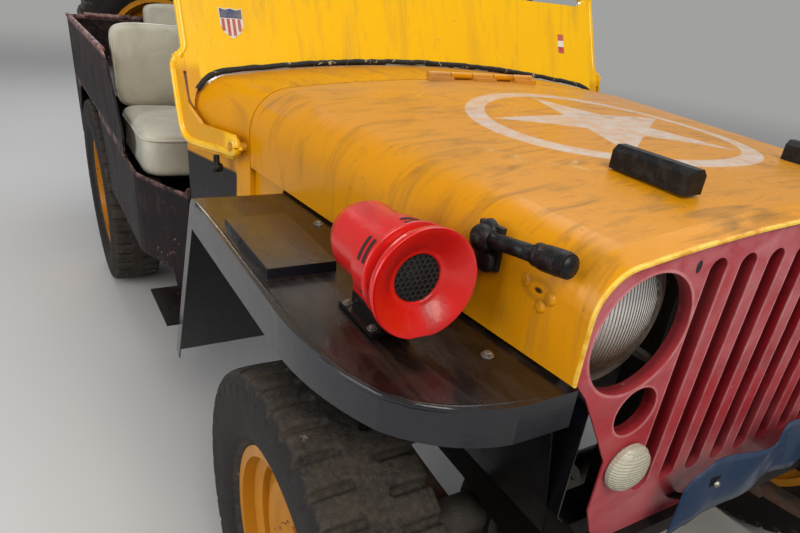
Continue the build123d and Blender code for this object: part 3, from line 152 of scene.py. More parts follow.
# Castings: axle housings, steering knuckles, engine and gearbox in sand-cast grey iron, bolted in bare.
# Oil has darkened the iron in patches. The sand's grain is drawn at 4 mm, coarser than the real one.
iron, tree, shader, place = new_finish("oily_cast_iron", "#4a4540")
oil = speckle(tree, place, 9.0, 0.35, 0.68, 7.0, 0.8)
recoat(tree, shader, "#1f1a16", 1.0, oil)
shader.inputs["Metallic"].default_value = 0.35
dull = node(tree, "Math", (oil, -0.25, 0.68), operation="MULTIPLY_ADD")
tree.links.new(dull, shader.inputs["Roughness"])
grain = speckle(tree, place, 260.0, 0.3, 0.7, 3.0)
sand = node(tree, "Bump", {"Strength": 0.5, "Distance": 0.0012, "Height": grain})
tree.links.new(sand, shader.inputs["Normal"])
dress(iron, "front_axle", "rear_axle", "knuckle_right", "knuckle_left", "engine", "transmission")

# Springs, tie rod and exhaust: rolled and drawn steel fitted without paint.
# Brown surface rust has spread over bright wear, and where it lies the metal's shine is gone.
rusty, tree, shader, place = new_finish("rusted_plain_steel", "#6a625a")
rust = speckle(tree, place, 24.0, 0.36, 0.62, 8.0, 0.5)
recoat(tree, shader, "#5a3622", 1.0, rust)
bright = node(tree, "Math", (rust, -0.6, 0.7), operation="MULTIPLY_ADD", use_clamp=True)
tree.links.new(bright, shader.inputs["Metallic"])
dull = node(tree, "Math", (rust, 0.35, 0.45), operation="MULTIPLY_ADD")
tree.links.new(dull, shader.inputs["Roughness"])
scale = node(tree, "Bump", {"Strength": 0.4, "Distance": 0.001, "Height": rust})
tree.links.new(scale, shader.inputs["Normal"])
dress(rusty, "leaf_springs", "tie_rod", "exhaust")

# Wheels: pressed discs welded into rolled rims, held by five nuts, in amber enamel that has chalked.
# Brake dust and rust dull it along the rim's well and round the nuts.
amber_paint = enamel(
    "amber_enamel_wheel", "#b9790a", "#a86c12", "#5f4020", "#5a3a20",
    rough=0.40, chips=0.60)[0]
dress(amber_paint, "wheel_front_right", "wheel_front_left", "wheel_rear_right", "wheel_rear_left",
      "spare_wheel")


# Tyres: moulded natural rubber with a bar tread of 44 lugs on each side, stretched over the rim.
# Dust fills the grooves, the lugs' faces are scuffed lighter and the side walls stay black.
# Age has crazed the rubber, in cells drawn at 11 mm, coarser than the real ones.
def from_axle(tree, place):
    """The place as three numbers, with Y counted from the front axle."""
    x, y, z = (node(tree, "SeparateXYZ", (place,), way) for way in "XYZ")
    return x, node(tree, "Math", (y, axle), operation="SUBTRACT"), z


def band(tree, value, low, high, soft):
    """1 between low and high, with edges that fade over soft."""
    rise = node(tree, "MapRange", (value, low - soft, low + soft, 0.0, 1.0))
    fall = node(tree, "MapRange", (value, high - soft, high + soft, 1.0, 0.0))
    return node(tree, "Math", (rise, fall), operation="MULTIPLY")


rubber, tree, shader, place = new_finish("aged_tyre_rubber", "#1e1c1b")
dust = speckle(tree, place, 14.0, 0.34, 0.70, 8.0, 0.6)
fine_dust = speckle(tree, place, 120.0, 0.40, 0.66, 6.0)
recoat(tree, shader, "#4a4138", 0.65, dust)
recoat(tree, shader, "#5e5346", 0.28, fine_dust)
recoat(tree, shader, "#8c8070", 0.5, speckle(tree, place, 42.0, 0.66, 0.72, 4.0))
# the side walls face along X, but those of the spare behind the tub face along Y
spare_from = 2.55
walls = []
for way in "XY":
    facing = node(tree, "SeparateXYZ", (node(tree, "TexCoord", (), "Normal"),), way)
    facing = node(tree, "Math", (facing,), operation="ABSOLUTE")
    walls.append(band(tree, facing, 0.80, 2.0, 0.12))
is_spare = band(tree, from_axle(tree, place)[1], spare_from, 5.0, 0.01)
recoat(tree, shader, "#0e0e10", 0.75, node(tree, "Mix", {0: is_spare, 2: walls[0], 3: walls[1]}))
shader.inputs["Specular IOR Level"].default_value = 0.25
dull = node(tree, "Math", (dust, 0.2, 0.68), operation="MULTIPLY_ADD")
tree.links.new(dull, shader.inputs["Roughness"])
crazed = node(tree, "TexVoronoi", {"Vector": place, "Scale": 90.0}, "Distance", feature="DISTANCE_TO_EDGE")
cracks = node(tree, "MapRange", (crazed, 0.0, 0.06, 0.0, 1.0))
height = node(tree, "Math", (cracks, 0.5), operation="MULTIPLY")
height = node(tree, "Math", (fine_dust, 0.7, height), operation="MULTIPLY_ADD")
worn_skin = node(tree, "Bump", {"Strength": 0.6, "Distance": 0.0015, "Height": height})
tree.links.new(worn_skin, shader.inputs["Normal"])
dress(rubber, "tyre_front_right", "tyre_front_left", "tyre_rear_right", "tyre_rear_left", "spare_tyre")

# half a tyre's section, from the tread's middle to the bead: half width, radius of the groove's floor
# and radius of the lug's top
tyre_section = (
    (0.0, 0.3448, 0.3448), (0.008, 0.3448, 0.3452), (0.0150, 0.3445, 0.3455), (0.0175, 0.3400, 0.3457),
    (0.0200, 0.3345, 0.3458), (0.0235, 0.3335, 0.3459), (0.034, 0.3332, 0.3459), (0.050, 0.3328, 0.3456),
    (0.062, 0.3318, 0.3450), (0.0695, 0.3300, 0.3438), (0.0745, 0.3272, 0.3418), (0.0785, 0.3235, 0.3375),
    (0.0808, 0.3190, 0.3310), (0.0825, 0.3130, 0.3215), (0.0832, 0.3060, 0.3090), (0.0838, 0.3000, 0.3000),
    (0.0829, 0.2975, 0.2975), (0.0836, 0.2890, 0.2890), (0.0830, 0.2700, 0.2700), (0.0815, 0.2530, 0.2530),
    (0.0770, 0.2400, 0.2400), (0.0716, 0.2330, 0.2330), (0.0722, 0.2305, 0.2305), (0.0670, 0.2275, 0.2275),
    (0.0570, 0.2190, 0.2190), (0.0570, 0.2052, 0.2052))
tread_r = 0.346
lugs_round = 44
# where the tread is cut round a quarter pitch, close together at the groove's walls
groove_cuts = (0.0, 0.0040, 0.0062, 0.0088, 0.0124, 0.0161, 0.0187, 0.0209)
groove_half = 0.0062
groove_wall = 0.0030
groove_end = 0.0240            # from the tread's middle
shoulder_r = 0.31              # the tread's wear reaches down to here
lug_wear = 0.0007


def build(name, verts, faces, material, body, smooth=True):
    """A mesh piece at its place that rides on a body."""
    mesh = bpy.data.meshes.new(name)
    mesh.from_pydata([tuple(v) for v in verts], [], faces)
    mesh.validate()
    mesh.update()
    piece = bpy.data.objects.new(name, mesh)
    bpy.context.scene.collection.objects.link(piece)
    mesh.materials.append(material)
    for face in mesh.polygons:
        face.use_smooth = smooth
    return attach(piece, body)


def lugged_tyre(name, body):
    """The CAD tyre drawn finer: rounded lugs at its own pitch, worn grooves with round inner ends."""
    low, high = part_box(name)
    middle = (low + high) / 2
    lies_along_y = name == "spare_tyre"
    pitch = 2 * pi / lugs_round
    half_pitch = pi / lugs_round * tread_r
    turns = []
    for i in range(lugs_round * 2):
        turns += [i * pitch / 2 + min(cut, half_pitch) / tread_r for cut in groove_cuts]
    whole = [(-u, floor, crown) for u, floor, crown in tyre_section[:0:-1]] + list(tyre_section)
    verts, faces = [], []
    for a in turns:
        for u, floor, crown in whole:
            # the left half's lugs stand half a pitch round from the right half's
            off = (a / pitch + (0.5 if u > 0 else 0.0)) % 1.0
            off = min(off, 1.0 - off) * pitch * tread_r
            inner = max(0.0, groove_end - abs(u))
            from_groove = sqrt(off * off + inner * inner) if abs(u) > 0.001 else 1.0
            share = max(0.0, min(1.0, (from_groove - groove_half + groove_wall / 2) / groove_wall))
            share = share * share * (3 - 2 * share)
            r = floor + (crown - floor) * share
            if crown > shoulder_r:
                spot = Vector((u, cos(a) * 0.35, sin(a) * 0.35))
                r -= lug_wear * share * max(0.0, noise.noise(spot * 45.0 + middle))
            if lies_along_y:
                verts.append(middle + Vector((r * cos(a), u, r * sin(a))))
            else:
                verts.append(middle + Vector((u, r * sin(a), r * cos(a))))
    count, rows = len(turns), len(whole)
    for i in range(count):
        j = (i + 1) % count
        for k in range(rows):
            n = (k + 1) % rows
            quad = (i * rows + k, j * rows + k, j * rows + n, i * rows + n)
            faces.append(quad[::-1] if lies_along_y else quad)
    tyre = build(name + "_lugged", verts, faces, rubber, body)
    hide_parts(name)


for corner in ("front_right", "front_left", "rear_right", "rear_left"):
    lugged_tyre(f"tyre_{corner}", f"wheel_{corner}")
lugged_tyre("spare_tyre", "chassis")

# Tub: floor, sides and tail of pressed sheet, spot welded and brushed in black over rust pits.
# The paint has gone purplish brown and has no gloss, and it is scraped to pink primer along the
# rail and the sills, behind the cowl.
rail_low, rail_top = 0.925, 1.0
worn_below_rail = 0.84
sill_low, sill_top = 0.690, 0.716
cowl_end = 0.90                # from the front axle
tub_paint, tree, shader, place = enamel(
    "brushed_black_tub", "#0e0a0b", "#1c1213", "#2a1d1c", "#8a625a",
    rough=0.55, haze_share=0.7, chips=0.64, gloss=0.0,
    run=(3.0, 3.0, 2.0))
x, y, z = from_axle(tree, place)
behind_cowl = band(tree, y, cowl_end, 4.0, 0.02)
recoat(tree, shader, "#b58a82", 0.75, band(tree, z, rail_low, rail_top, 0.006), behind_cowl,
       speckle(tree, place, 26.0, 0.40, 0.62, 7.0, 1.0))
recoat(tree, shader, "#a8807a", 0.6, band(tree, z, sill_low, sill_top, 0.006),
       speckle(tree, place, 20.0, 0.42, 0.64, 7.0, 1.0))
recoat(tree, shader, "#4a3032", 0.28, speckle(tree, place, 11.0, 0.54, 0.68, 8.0, 2.0))
recoat(tree, shader, "#6a4a4c", 0.28, band(tree, z, worn_below_rail, rail_top, 0.05), behind_cowl,
       speckle(tree, place, 16.0, 0.46, 0.64, 8.0, 1.2))
dress(tub_paint, "tub_side_right", "tub_side_left", "tub_rear", "tub_floor")

# Fenders: heavy pressings with a deep turned flange, bolted to the frame, in gloss black gone brown.
# Dust and drips lie along the flat. The flange's blue grey shine is a painted sheen, laid into its colour.
# The skirt behind the wheel and the faces that look down, the flange's inside among them, are painted near
# black: painted shade under the fender. The tool lid is duller and browner than the sheet round it.
lid_across, lid_along = (0.574, 0.688), (0.114, 0.334)
skirt_top = 0.735
fender_paint, tree, shader, place = enamel(
    "black_enamel_fender", "#110d0b", "#1b1411", "#3a2d25", "#5a483c",
    rough=0.22, haze_share=0.6, chips=0.72, gloss=0.22,
    run=(6.0, 2.0, 2.0))
x, y, z = from_axle(tree, place)
up = node(tree, "SeparateXYZ", (node(tree, "NewGeometry", (), "Normal"),), "Z")
flat_top = band(tree, up, 0.8, 1.5, 0.1)
drips = node(tree, "Mapping", {"Vector": place, "Scale": (30.0, 3.0, 3.0)})
lines = speckle(tree, drips, 1.6, 0.52, 0.66, 6.0, 0.8)
recoat(tree, shader, "#4e4036", 0.22, flat_top, lines)
# painted sheen: the upright faces, the flange's among them, are tinted blue grey
recoat(tree, shader, "#10151f", 0.8, band(tree, up, -0.5, 0.55, 0.1))
beyond = node(tree, "Math", (x,), operation="ABSOLUTE")
lid_brown = node(tree, "Math", (lines, 0.2, 0.40), operation="MULTIPLY_ADD")
recoat(tree, shader, "#33261f", lid_brown, band(tree, beyond, *lid_across, 0.002),
       band(tree, y, *lid_along, 0.002), flat_top)
# painted shade under the fender: the skirt and the faces that look down are laid near black
skirt = band(tree, z, 0.0, skirt_top, 0.01)
inside = band(tree, up, -1.5, -0.6, 0.1)
recoat(tree, shader, "#080808", 0.8, node(tree, "Math", (skirt, inside), operation="MAXIMUM"))
dress(fender_paint, "fender_right", "fender_left")


def surface_below(name, x, y, top=1.6):
    """Height of a CAD node's skin under a point, or None where there is none."""
    hit, spot, *_ = nodes[name].ray_cast(Vector((x, y, top)), Vector((0, 0, -1)))
    return spot.z if hit else None


def tube(name, path, radii, material, body, sides=10, closed=False, flat=1.0):
    """A swept tube; radii is one number or one for each point, flat squeezes its height."""
    count = len(path)
    verts, faces = [], []
    points = [Vector(p) for p in path]
    for i, point in enumerate(points):
        ahead = points[(i + 1) % count] if closed or i < count - 1 else point
        behind = points[i - 1] if closed or i > 0 else point
        run = (ahead - behind).normalized()
        side = run.cross(Vector((0, 0, 1)))
        side = side.normalized() if side.length > 0.05 else Vector((1, 0, 0))
        up = side.cross(run).normalized()
        r = radii[i] if isinstance(radii, list) else radii
        for k in range(sides):
            a = 2 * pi * k / sides
            verts.append(point + side * (r * cos(a)) + up * (r * flat * sin(a)))
    for i in range(count if closed else count - 1):
        here, there = i * sides, (i + 1) % count * sides
        for k in range(sides):
            n = (k + 1) % sides
            faces.append((here + k, here + n, there + n, there + k))
    if not closed:
        faces.append(tuple(range(sides))[::-1])
        faces.append(tuple(range((count - 1) * sides, count * sides)))
    return build(name, verts, faces, material, body)


def eased(path, rounds):
    """Cut each corner of a path at a quarter of its legs, that many times over."""
    for _ in range(rounds):
        cut = [path[0]]
        for a, b in zip(path, path[1:]):
            cut += [a * 0.75 + b * 0.25, a * 0.25 + b * 0.75]
        path = cut + [path[-1]]
    return path


# The press leaves a radius of 5 mm between flat and flange: a rod laid along the edge, sunk in the sheet.
# The line is the right fender's, seen from above, and is looked for a few millimetres further in.
edge_r = 0.0050
edge_line = (
    (-0.704, 0.440), (-0.702, 0.419), (-0.699, 0.300), (-0.700, 0.198), (-0.699, 0.107), (-0.697, 0.014),
    (-0.692, -0.055), (-0.684, -0.109), (-0.669, -0.155), (-0.645, -0.191), (-0.620, -0.210),
    (-0.592, -0.227), (-0.526, -0.243), (-0.484, -0.246))
fender_middle = Vector((-0.56, 0.10, 0))
flat_from = 0.78               # the fender's flat lies above this height
inward_steps = (0.003, 0.006, 0.009, 0.012, 0.016)
for letter, side, fender in (("r", -1, "fender_right"), ("l", 1, "fender_left")):
    bead = []
    for p in eased([Vector((x, y, 0)) for x, y in edge_line], 2):
        inward = (fender_middle - p).normalized()
        for inset in inward_steps:
            q = p + inward * inset
            z = surface_below(fender, -side * q.x, axle + q.y)
            if z is not None and z > flat_from:
                q = p + inward * max(0.0025, inset - 0.002)
                bead.append((-side * q.x, axle + q.y, z - 0.0042))
                break
    tube(f"fender_edge_{letter}", bead, edge_r, fender_paint, "chassis", 12)

# Inner aprons: flat black sheets between hood and frame rail that keep the wheel's dirt from the engine.
# Each is one sheet with a turned lower edge, spot welded under the fender.
apron_ends = (-0.236, 0.560)
apron_thick = 0.002
apron_out = 0.392
for letter, side in (("r", -1), ("l", 1)):
    apron_x = side * apron_out
    outline = ((apron_x + side * 0.020, 0.800), (apron_x, 0.792), (apron_x, 0.575),
               (apron_x - side * 0.012, 0.560))
    verts = []
    for lift in (0.0, apron_thick):
        for y in apron_ends:
            verts += [(x + side * lift, axle + y, z) for x, z in outline]
    faces = []
    for base, flip in ((0, False), (8, True)):
        for k in range(3):
            quad = (base + k, base + k + 1, base + k + 5, base + k + 4)
            faces.append(quad[::-1] if flip else quad)
    border = [0, 1, 2, 3, 7, 6, 5, 4]
    faces += [(a, b, b + 8, a + 8) for a, b in zip(border, border[1:] + border[:1])]
    build(f"inner_apron_{letter}", verts, faces, fender_paint, "chassis", False)

# Cowl: the pressing between hood and tub, in the hood's yellow enamel, with the dash at its back.
# Its lower sides behind the windshield's arms are brushed black over the yellow, with an uneven edge.
brushed_from, brushed_top = 0.676, 0.806
cowl_paint, tree, shader, place = enamel(
    "yellow_enamel_cowl", "#d48e00", "#bd8212", "#84602e", "#4a3420",
    rough=0.28, chips=0.70, gloss=0.08)
x, y, z = from_axle(tree, place)
wobble = speckle(tree, place, 30.0, 0.0, 1.0)
brush_edge = node(tree, "Math", (wobble, 0.012, y), operation="MULTIPLY_ADD")
brushed = node(tree, "Math", (band(tree, brush_edge, brushed_from, 1.2, 0.002),
                              band(tree, z, 0.2, brushed_top, 0.003)), operation="MULTIPLY")
recoat(tree, shader, "#0f0c0c", 1.0, brushed)
recoat(tree, shader, "#4a2c28", 0.6, brushed, speckle(tree, place, 24.0, 0.62, 0.74, 7.0, 1.0))
dress(cowl_paint, "cowl")

# Dash instruments: a speedometer and four small gauges, let into the dash from behind.
# Each is a turned steel bezel plated with zinc that has gone dull, round a black face, without its glass.
zinc, tree, shader, place = new_finish("dull_zinc_plate", "#b4b2aa")
tarnish = speckle(tree, place, 70.0, 0.36, 0.68, 6.0)
recoat(tree, shader, "#6e675c", 1.0, tarnish)
shader.inputs["Metallic"].default_value = 0.9
dull = node(tree, "Math", (tarnish, 0.3, 0.3), operation="MULTIPLY_ADD")
tree.links.new(dull, shader.inputs["Roughness"])
dial_black, tree, shader, place = new_finish("black_dial_face", "#141414")
recoat(tree, shader, "#b8b4a4", 0.5, speckle(tree, place, 260.0, 0.58, 0.62, 2.0))
shader.inputs["Roughness"].default_value = 0.5


def turned(name, centre, way, profile, material, body, count=64):
    """A ring or disc turned about an axis: profile is (along the axis, radius)."""
    way = Vector(way).normalized()
    side = way.orthogonal().normalized()
    up = way.cross(side)
    verts, faces = [], []
    rows = len(profile)
    for i in range(count):
        a = 2 * pi * i / count
        out = side * cos(a) + up * sin(a)
        verts += [Vector(centre) + way * along + out * r for along, r in profile]
        j = (i + 1) % count
        for k in range(rows - 1):
            faces.append((i * rows + k, i * rows + k + 1, j * rows + k + 1, j * rows + k))
    return build(name, verts, faces, material, body)


# each gauge: how far to the side, how high, and its radius
speedometer = (0.0, 0.905, 0.038)
small_gauges = [(side * 0.085, z, 0.022) for side in (-1, 1) for z in (0.925, 0.870)]
for k, (x, z, r) in enumerate([speedometer] + small_gauges):
    hit, spot, *_ = nodes["cowl"].ray_cast(Vector((x, axle + 1.2, z)), Vector((0, -1, 0)))
    if hit and spot.y > axle + 0.6:
        turned(f"gauge_bezel_{k}", (x, spot.y, z), (0, 1, 0),
               [(-0.001, r), (0.004, r), (0.006, r - 0.002), (0.006, r - 0.004), (0.002, r - 0.0055)],
               zinc, "chassis", 40)
        turned(f"gauge_face_{k}", (x, spot.y + 0.0015, z), (0, 1, 0),
               [(0.0005, r - 0.005), (0.0005, 0.003), (0.003, 0.0025), (0.003, 0.0003)],
               dial_black, "chassis", 40)

# Steering wheel: hard black rubber moulded on a steel ring and spokes, on the splines of its column.
# Hands have polished it unevenly, so its gloss comes and goes along the rim.
ebony, tree, shader, place = new_finish("moulded_hard_rubber", "#151413")
wear = speckle(tree, place, 30.0, 0.4, 0.7, 5.0)
recoat(tree, shader, "#2e2a26", 1.0, wear)
dull = node(tree, "Math", (wear, 0.25, 0.25), operation="MULTIPLY_ADD")
tree.links.new(dull, shader.inputs["Roughness"])
dress(ebony, "steering_wheel")

# Seats: foam pads under coated cloth, stretched over the seat frames and piped along the front edge.
# The cloth is cream with a soft sheen, and dirt lies in its folds. Its leather grain is drawn at 3 mm,
# coarser than the real one, so that it shows.
vinyl, tree, shader, place = new_finish("cream_coated_cloth", "#bcb8a6")
soil = speckle(tree, place, 7.0, 0.42, 0.74, 7.0, 0.8)
recoat(tree, shader, "#777160", 0.55, soil)
grain = node(tree, "TexVoronoi", {"Vector": place, "Scale": 330.0}, "Distance", feature="DISTANCE_TO_EDGE")
pore = node(tree, "MapRange", (grain, 0.0, 0.12, 0.0, 1.0))
recoat(tree, shader, "#5c5446", node(tree, "Math", (pore, -0.18, 0.18), operation="MULTIPLY_ADD"))
dull = node(tree, "Math", (soil, 0.2, 0.44), operation="MULTIPLY_ADD")
tree.links.new(dull, shader.inputs["Roughness"])
folds = speckle(tree, place, 11.0, 0.3, 0.7, 2.0, 0.6)
height = node(tree, "Math", (pore, 0.3), operation="MULTIPLY")
height = node(tree, "Math", (folds, 3.0, height), operation="MULTIPLY_ADD")
skin = node(tree, "Bump", {"Strength": 0.5, "Distance": 0.0012, "Height": height})
tree.links.new(skin, shader.inputs["Normal"])
waist_pull = 0.035
seam_at = 0.62                 # of the half thickness, towards the face
piping_r = 0.0042


def pad(name, face_axis, face_way, crown, corner):
    """A padded cushion in its CAD solid's box: rounded, crowned on its face, pulled in at its waist."""
    low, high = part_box(name)
    middle, half = (low + high) / 2, (high - low) / 2
    deep_axis = 3 - face_axis

    def crowned(q):
        """Crown and pull in a point of the rounded block, and give its place on the vehicle."""
        if q[face_axis] * face_way > 0:
            q[face_axis] *= 1 - crown * max(abs(q[0]), abs(q[deep_axis])) ** 3
        waist = 1 - waist_pull * (1 - q[face_axis] ** 2)
        q[0] *= waist
        q[deep_axis] *= waist
        return Vector([middle[k] + half[k] * q[k] for k in range(3)])

    bm = bmesh.new()
    bmesh.ops.create_cube(bm, size=2.0)
    bmesh.ops.subdivide_edges(bm, edges=bm.edges[:], cuts=23, use_grid_fill=True)
    for v in bm.verts:
        size = sum(abs(c) ** corner for c in v.co) ** (1 / corner)
        q = [c / size for c in v.co]
        spot = crowned(q)
        soft = noise.noise(spot * 9.0 + Vector((3.1, 1.7, 0.4))) * 0.003 + noise.noise(spot * 24.0) * 0.001
        v.co = spot - Vector(q).normalized() * (0.0025 + soft)
    mesh = bpy.data.meshes.new(name + "_pad")
    bm.to_mesh(mesh)
    bm.free()
    mesh.materials.append(vinyl)
    for face in mesh.polygons:
        face.use_smooth = True
    piece = bpy.data.objects.new(name + "_pad", mesh)
    bpy.context.scene.collection.objects.link(piece)
    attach(piece, "chassis")
    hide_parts(name)
    # piping along the seam round the face
    path = []
    for k in range(96):
        a = 2 * pi * k / 96
        q = [0.0, 0.0, 0.0]
        reach = (1 - seam_at ** corner) / (abs(cos(a)) ** corner + abs(sin(a)) ** corner)
        reach = reach ** (1 / corner)
        q[0], q[deep_axis], q[face_axis] = cos(a) * reach, sin(a) * reach, seam_at * face_way
        spot = crowned(q)
        q[face_axis] = 0.0
        path.append(spot - Vector(q).normalized() * 0.003)
    welt = tube(name + "_piping", path, piping_r, vinyl, "chassis", 8, True)


for side in ("right", "left"):
    pad(f"seat_cushion_{side}", 2, 1, 0.16, 9.0)
    pad(f"seat_back_{side}", 1, -1, 0.22, 8.0)
pad("rear_seat_cushion", 2, 1, 0.16, 9.0)
pad("rear_seat_back", 1, -1, 0.20, 9.0)

# Grille: one pressing of the front with nine slots and the lamps' holes, in red enamel.
# It has faded to pink at its corners. The fade is chalk on the paint, thickest at the top. The paler pink
# line on the lip of each slot and lamp hole is a painted highlight.
slot_pitch = 0.0612
slot_low, slot_high = 0.592, 0.936
slots_reach = 0.272             # the outermost slot's far lip
slot_lip_in, slot_lip_out = 0.0162, 0.0196
lamp_at, lamp_lip = (0.349, 0.0, 0.860), (0.0825, 0.0868)
marker_at, marker_lip = (0.3125, 0.0, 0.739), (0.0375, 0.0412)
peg_x, peg_z, peg_r = 0.285, 0.943, 0.0085
peg_narrow = 0.6               # width of the oval hole over its height
grille_paint, tree, shader, place = enamel(
    "red_enamel_grille", "#a01e28", "#b04850", "#5a2a28", "#c88a88",
    rough=0.34, haze_share=0.6, run=(2.0, 2.0, 6.0))
x, y, z = from_axle(tree, place)
front_skin = band(tree, y, -0.30, -0.2435, 0.0006)
upper = node(tree, "MapRange", (z, 0.72, 0.96, 0.30, 1.0))
recoat(tree, shader, "#c88890", 0.60, front_skin, upper, speckle(tree, place, 14.0, 0.34, 0.70, 6.0, 0.6))
# the rolled lip of each slot and lamp hole is laid in a paler pink: a painted highlight
beside = node(tree, "Math", (x,), operation="ABSOLUTE")
from_slot = node(tree, "Math", (x, slot_pitch / 2), operation="ADD")
from_slot = node(tree, "Math", (from_slot, slot_pitch), operation="FLOORED_MODULO")
from_slot = node(tree, "Math", (from_slot, slot_pitch / 2), operation="SUBTRACT")
from_slot = node(tree, "Math", (from_slot,), operation="ABSOLUTE")
slot_lip = node(tree, "Math", (band(tree, from_slot, slot_lip_in, slot_lip_out, 0.0006),
                               band(tree, z, slot_low, slot_high, 0.004)), operation="MULTIPLY")
slot_lip = node(tree, "Math", (slot_lip, band(tree, beside, -0.1, slots_reach, 0.002)),
                operation="MULTIPLY")
seen_front = node(tree, "CombineXYZ", {"X": beside, "Z": z})
from_lamp = node(tree, "VectorMath", (seen_front, lamp_at), "Value", operation="DISTANCE")
from_marker = node(tree, "VectorMath", (seen_front, marker_at), "Value", operation="DISTANCE")
hole_lip = node(tree, "Math", (band(tree, from_lamp, *lamp_lip, 0.0008),
                               band(tree, from_marker, *marker_lip, 0.0008)), operation="MAXIMUM")
painted_lip_highlight = node(tree, "Math", (slot_lip, hole_lip), operation="MAXIMUM")
# painted highlight along each lip
recoat(tree, shader, "#dc9a9c", 0.50, front_skin, painted_lip_highlight, speckle(tree, place, 30.0, 0.25, 0.60, 6.0))
# small oval hole at each upper corner, not cut but laid near black: its dark is painted shade
squashed = node(tree, "VectorMath", (seen_front, (1 / peg_narrow, 1.0, 1.0)), operation="MULTIPLY")
peg_middle = (peg_x / peg_narrow, 0.0, peg_z)
from_peg = node(tree, "VectorMath", (squashed, peg_middle), "Value", operation="DISTANCE")
recoat(tree, shader, "#0c0606", 1.0, front_skin, band(tree, from_peg, -1.0, peg_r, 0.0005))
# stones have chalked its foot; what lies behind the front face, the slots' walls among it, is painted dark
# red as shade in the recesses
recoat(tree, shader, "#b87078", 0.45, band(tree, z, 0.3, 0.62, 0.06),
       speckle(tree, place, 8.0, 0.40, 0.66, 5.0, 0.8))
# painted shade: behind the front face, in the slots and behind them, the red is darkened
recoat(tree, shader, "#3a080c", 0.65, band(tree, y, -0.236, 0.1, 0.004))
dress(grille_paint, "grille")

# Headlamps: deep drawn steel buckets, plated inside, set in the grille's holes and gone cloudy.
# The bright plate answers light as metal does, with smears that dull it.
bucket, tree, shader, place = new_finish("plated_lamp_bucket", "#9a958a")
smear = speckle(tree, place, 18.0, 0.35, 0.7, 6.0)
recoat(tree, shader, "#4b443c", 1.0, smear)
shader.inputs["Metallic"].default_value = 0.85
dull = node(tree, "Math", (smear, 0.3, 0.25), operation="MULTIPLY_ADD")
tree.links.new(dull, shader.inputs["Roughness"])
dress(bucket, "headlamps")

# Lenses: pressed glass with a flute in each 5.8 mm, and a brown stain in the lower half.
# The reflector close behind it answers light as bare metal does. The markers' glass is ribbed the other
# way, in each 4.6 mm, and the two at the tail are red.
lamp_flutes, marker_ribs = 0.0058, 0.0046
stained_below, clear_above = 0.800, 0.895
tail_from = 1.5


def fluted_glass(name, pitch, way, tint, stain, flute_depth=0.45, silver=0.0, tide=None):
    """Pressed lens glass; tide is the height where its stain is full, and the height where it ends."""
    material, tree, shader, place = new_finish(name, tint)
    turn = node(tree, "SeparateXYZ", (place,), way)
    turn = node(tree, "Math", (turn, 2 * pi / pitch), operation="MULTIPLY")
    wave = node(tree, "Math", (turn,), operation="SINE")
    flutes = node(tree, "Bump", {"Strength": flute_depth, "Distance": 0.0012, "Height": wave})
    tree.links.new(flutes, shader.inputs["Normal"])
    cloud = speckle(tree, place, 20.0, 0.40, 0.72, 6.0)
    film = node(tree, "Math", (cloud, 0.45), operation="MULTIPLY")
    # the stain's colour also follows each flute's wave, darkest in its hollow: painted shade along the
    # flutes
    grooves = node(tree, "Math", (wave, -0.09, 0.10), operation="MULTIPLY_ADD")
    stain_and_flute_shade = node(tree, "Math", (film, grooves), operation="MAXIMUM")
    if tide:
        sunk = node(tree, "MapRange", (node(tree, "SeparateXYZ", (place,), "Z"), *tide, 0.95, 0.0))
        stain_and_flute_shade = node(tree, "Math", (stain_and_flute_shade, sunk), operation="MAXIMUM")
    recoat(tree, shader, stain, 1.0, stain_and_flute_shade)
    dull = node(tree, "Math", (cloud, 0.3, 0.12), operation="MULTIPLY_ADD")
    tree.links.new(dull, shader.inputs["Roughness"])
    shader.inputs["Transmission Weight"].default_value = 0.25
    shader.inputs["IOR"].default_value = 1.5
    shader.inputs["Metallic"].default_value = silver
    return material, tree, shader, place


lamp_glass = fluted_glass("fluted_headlamp_glass", lamp_flutes, "X", "#f6f8f6", "#6a4a24",
                          flute_depth=0.9, silver=0.55, tide=(stained_below, clear_above))[0]
dress(lamp_glass, "headlamp_lenses")
marker_glass, tree, shader, place = fluted_glass("ribbed_marker_glass", marker_ribs, "Z", "#d6d2c0",
                                                 "#8f8766")
recoat(tree, shader, "#8c1010", 1.0, band(tree, from_axle(tree, place)[1], tail_from, 4.0, 0.01))
dress(marker_glass, "marker_lamps")

# Number plate: a blank sheet of aluminium in dark blue enamel, bent by knocks along its length.
# Its right end is bent down and forward, and the rest waves a few millimetres either way.
plate_right, plate_left = -0.206, 0.300
plate_high = 0.098
plate_thick = 0.0016
plate_y = -0.303
plate_rise = ((plate_right, 0.556), (-0.190, 0.576), (-0.150, 0.594), (-0.100, 0.598), (-0.040, 0.604),
              (0.020, 0.611), (0.080, 0.606), (0.150, 0.600), (0.230, 0.598), (plate_left, 0.596))
plate_blue = enamel(
    "dark_blue_plate_enamel", "#22344f", "#33455e", "#454c56", "#9aa0a8",
    rough=0.34, haze_share=0.6, chips=0.68)[0]


def follow(table, x):
    """Value at x on a smooth line through a table of points."""
    for (x0, v0), (x1, v1) in zip(table, table[1:]):
        if x <= x1:
            share = max(0.0, (x - x0) / (x1 - x0))
            return v0 + (v1 - v0) * share * share * (3 - 2 * share)
    return table[-1][1]


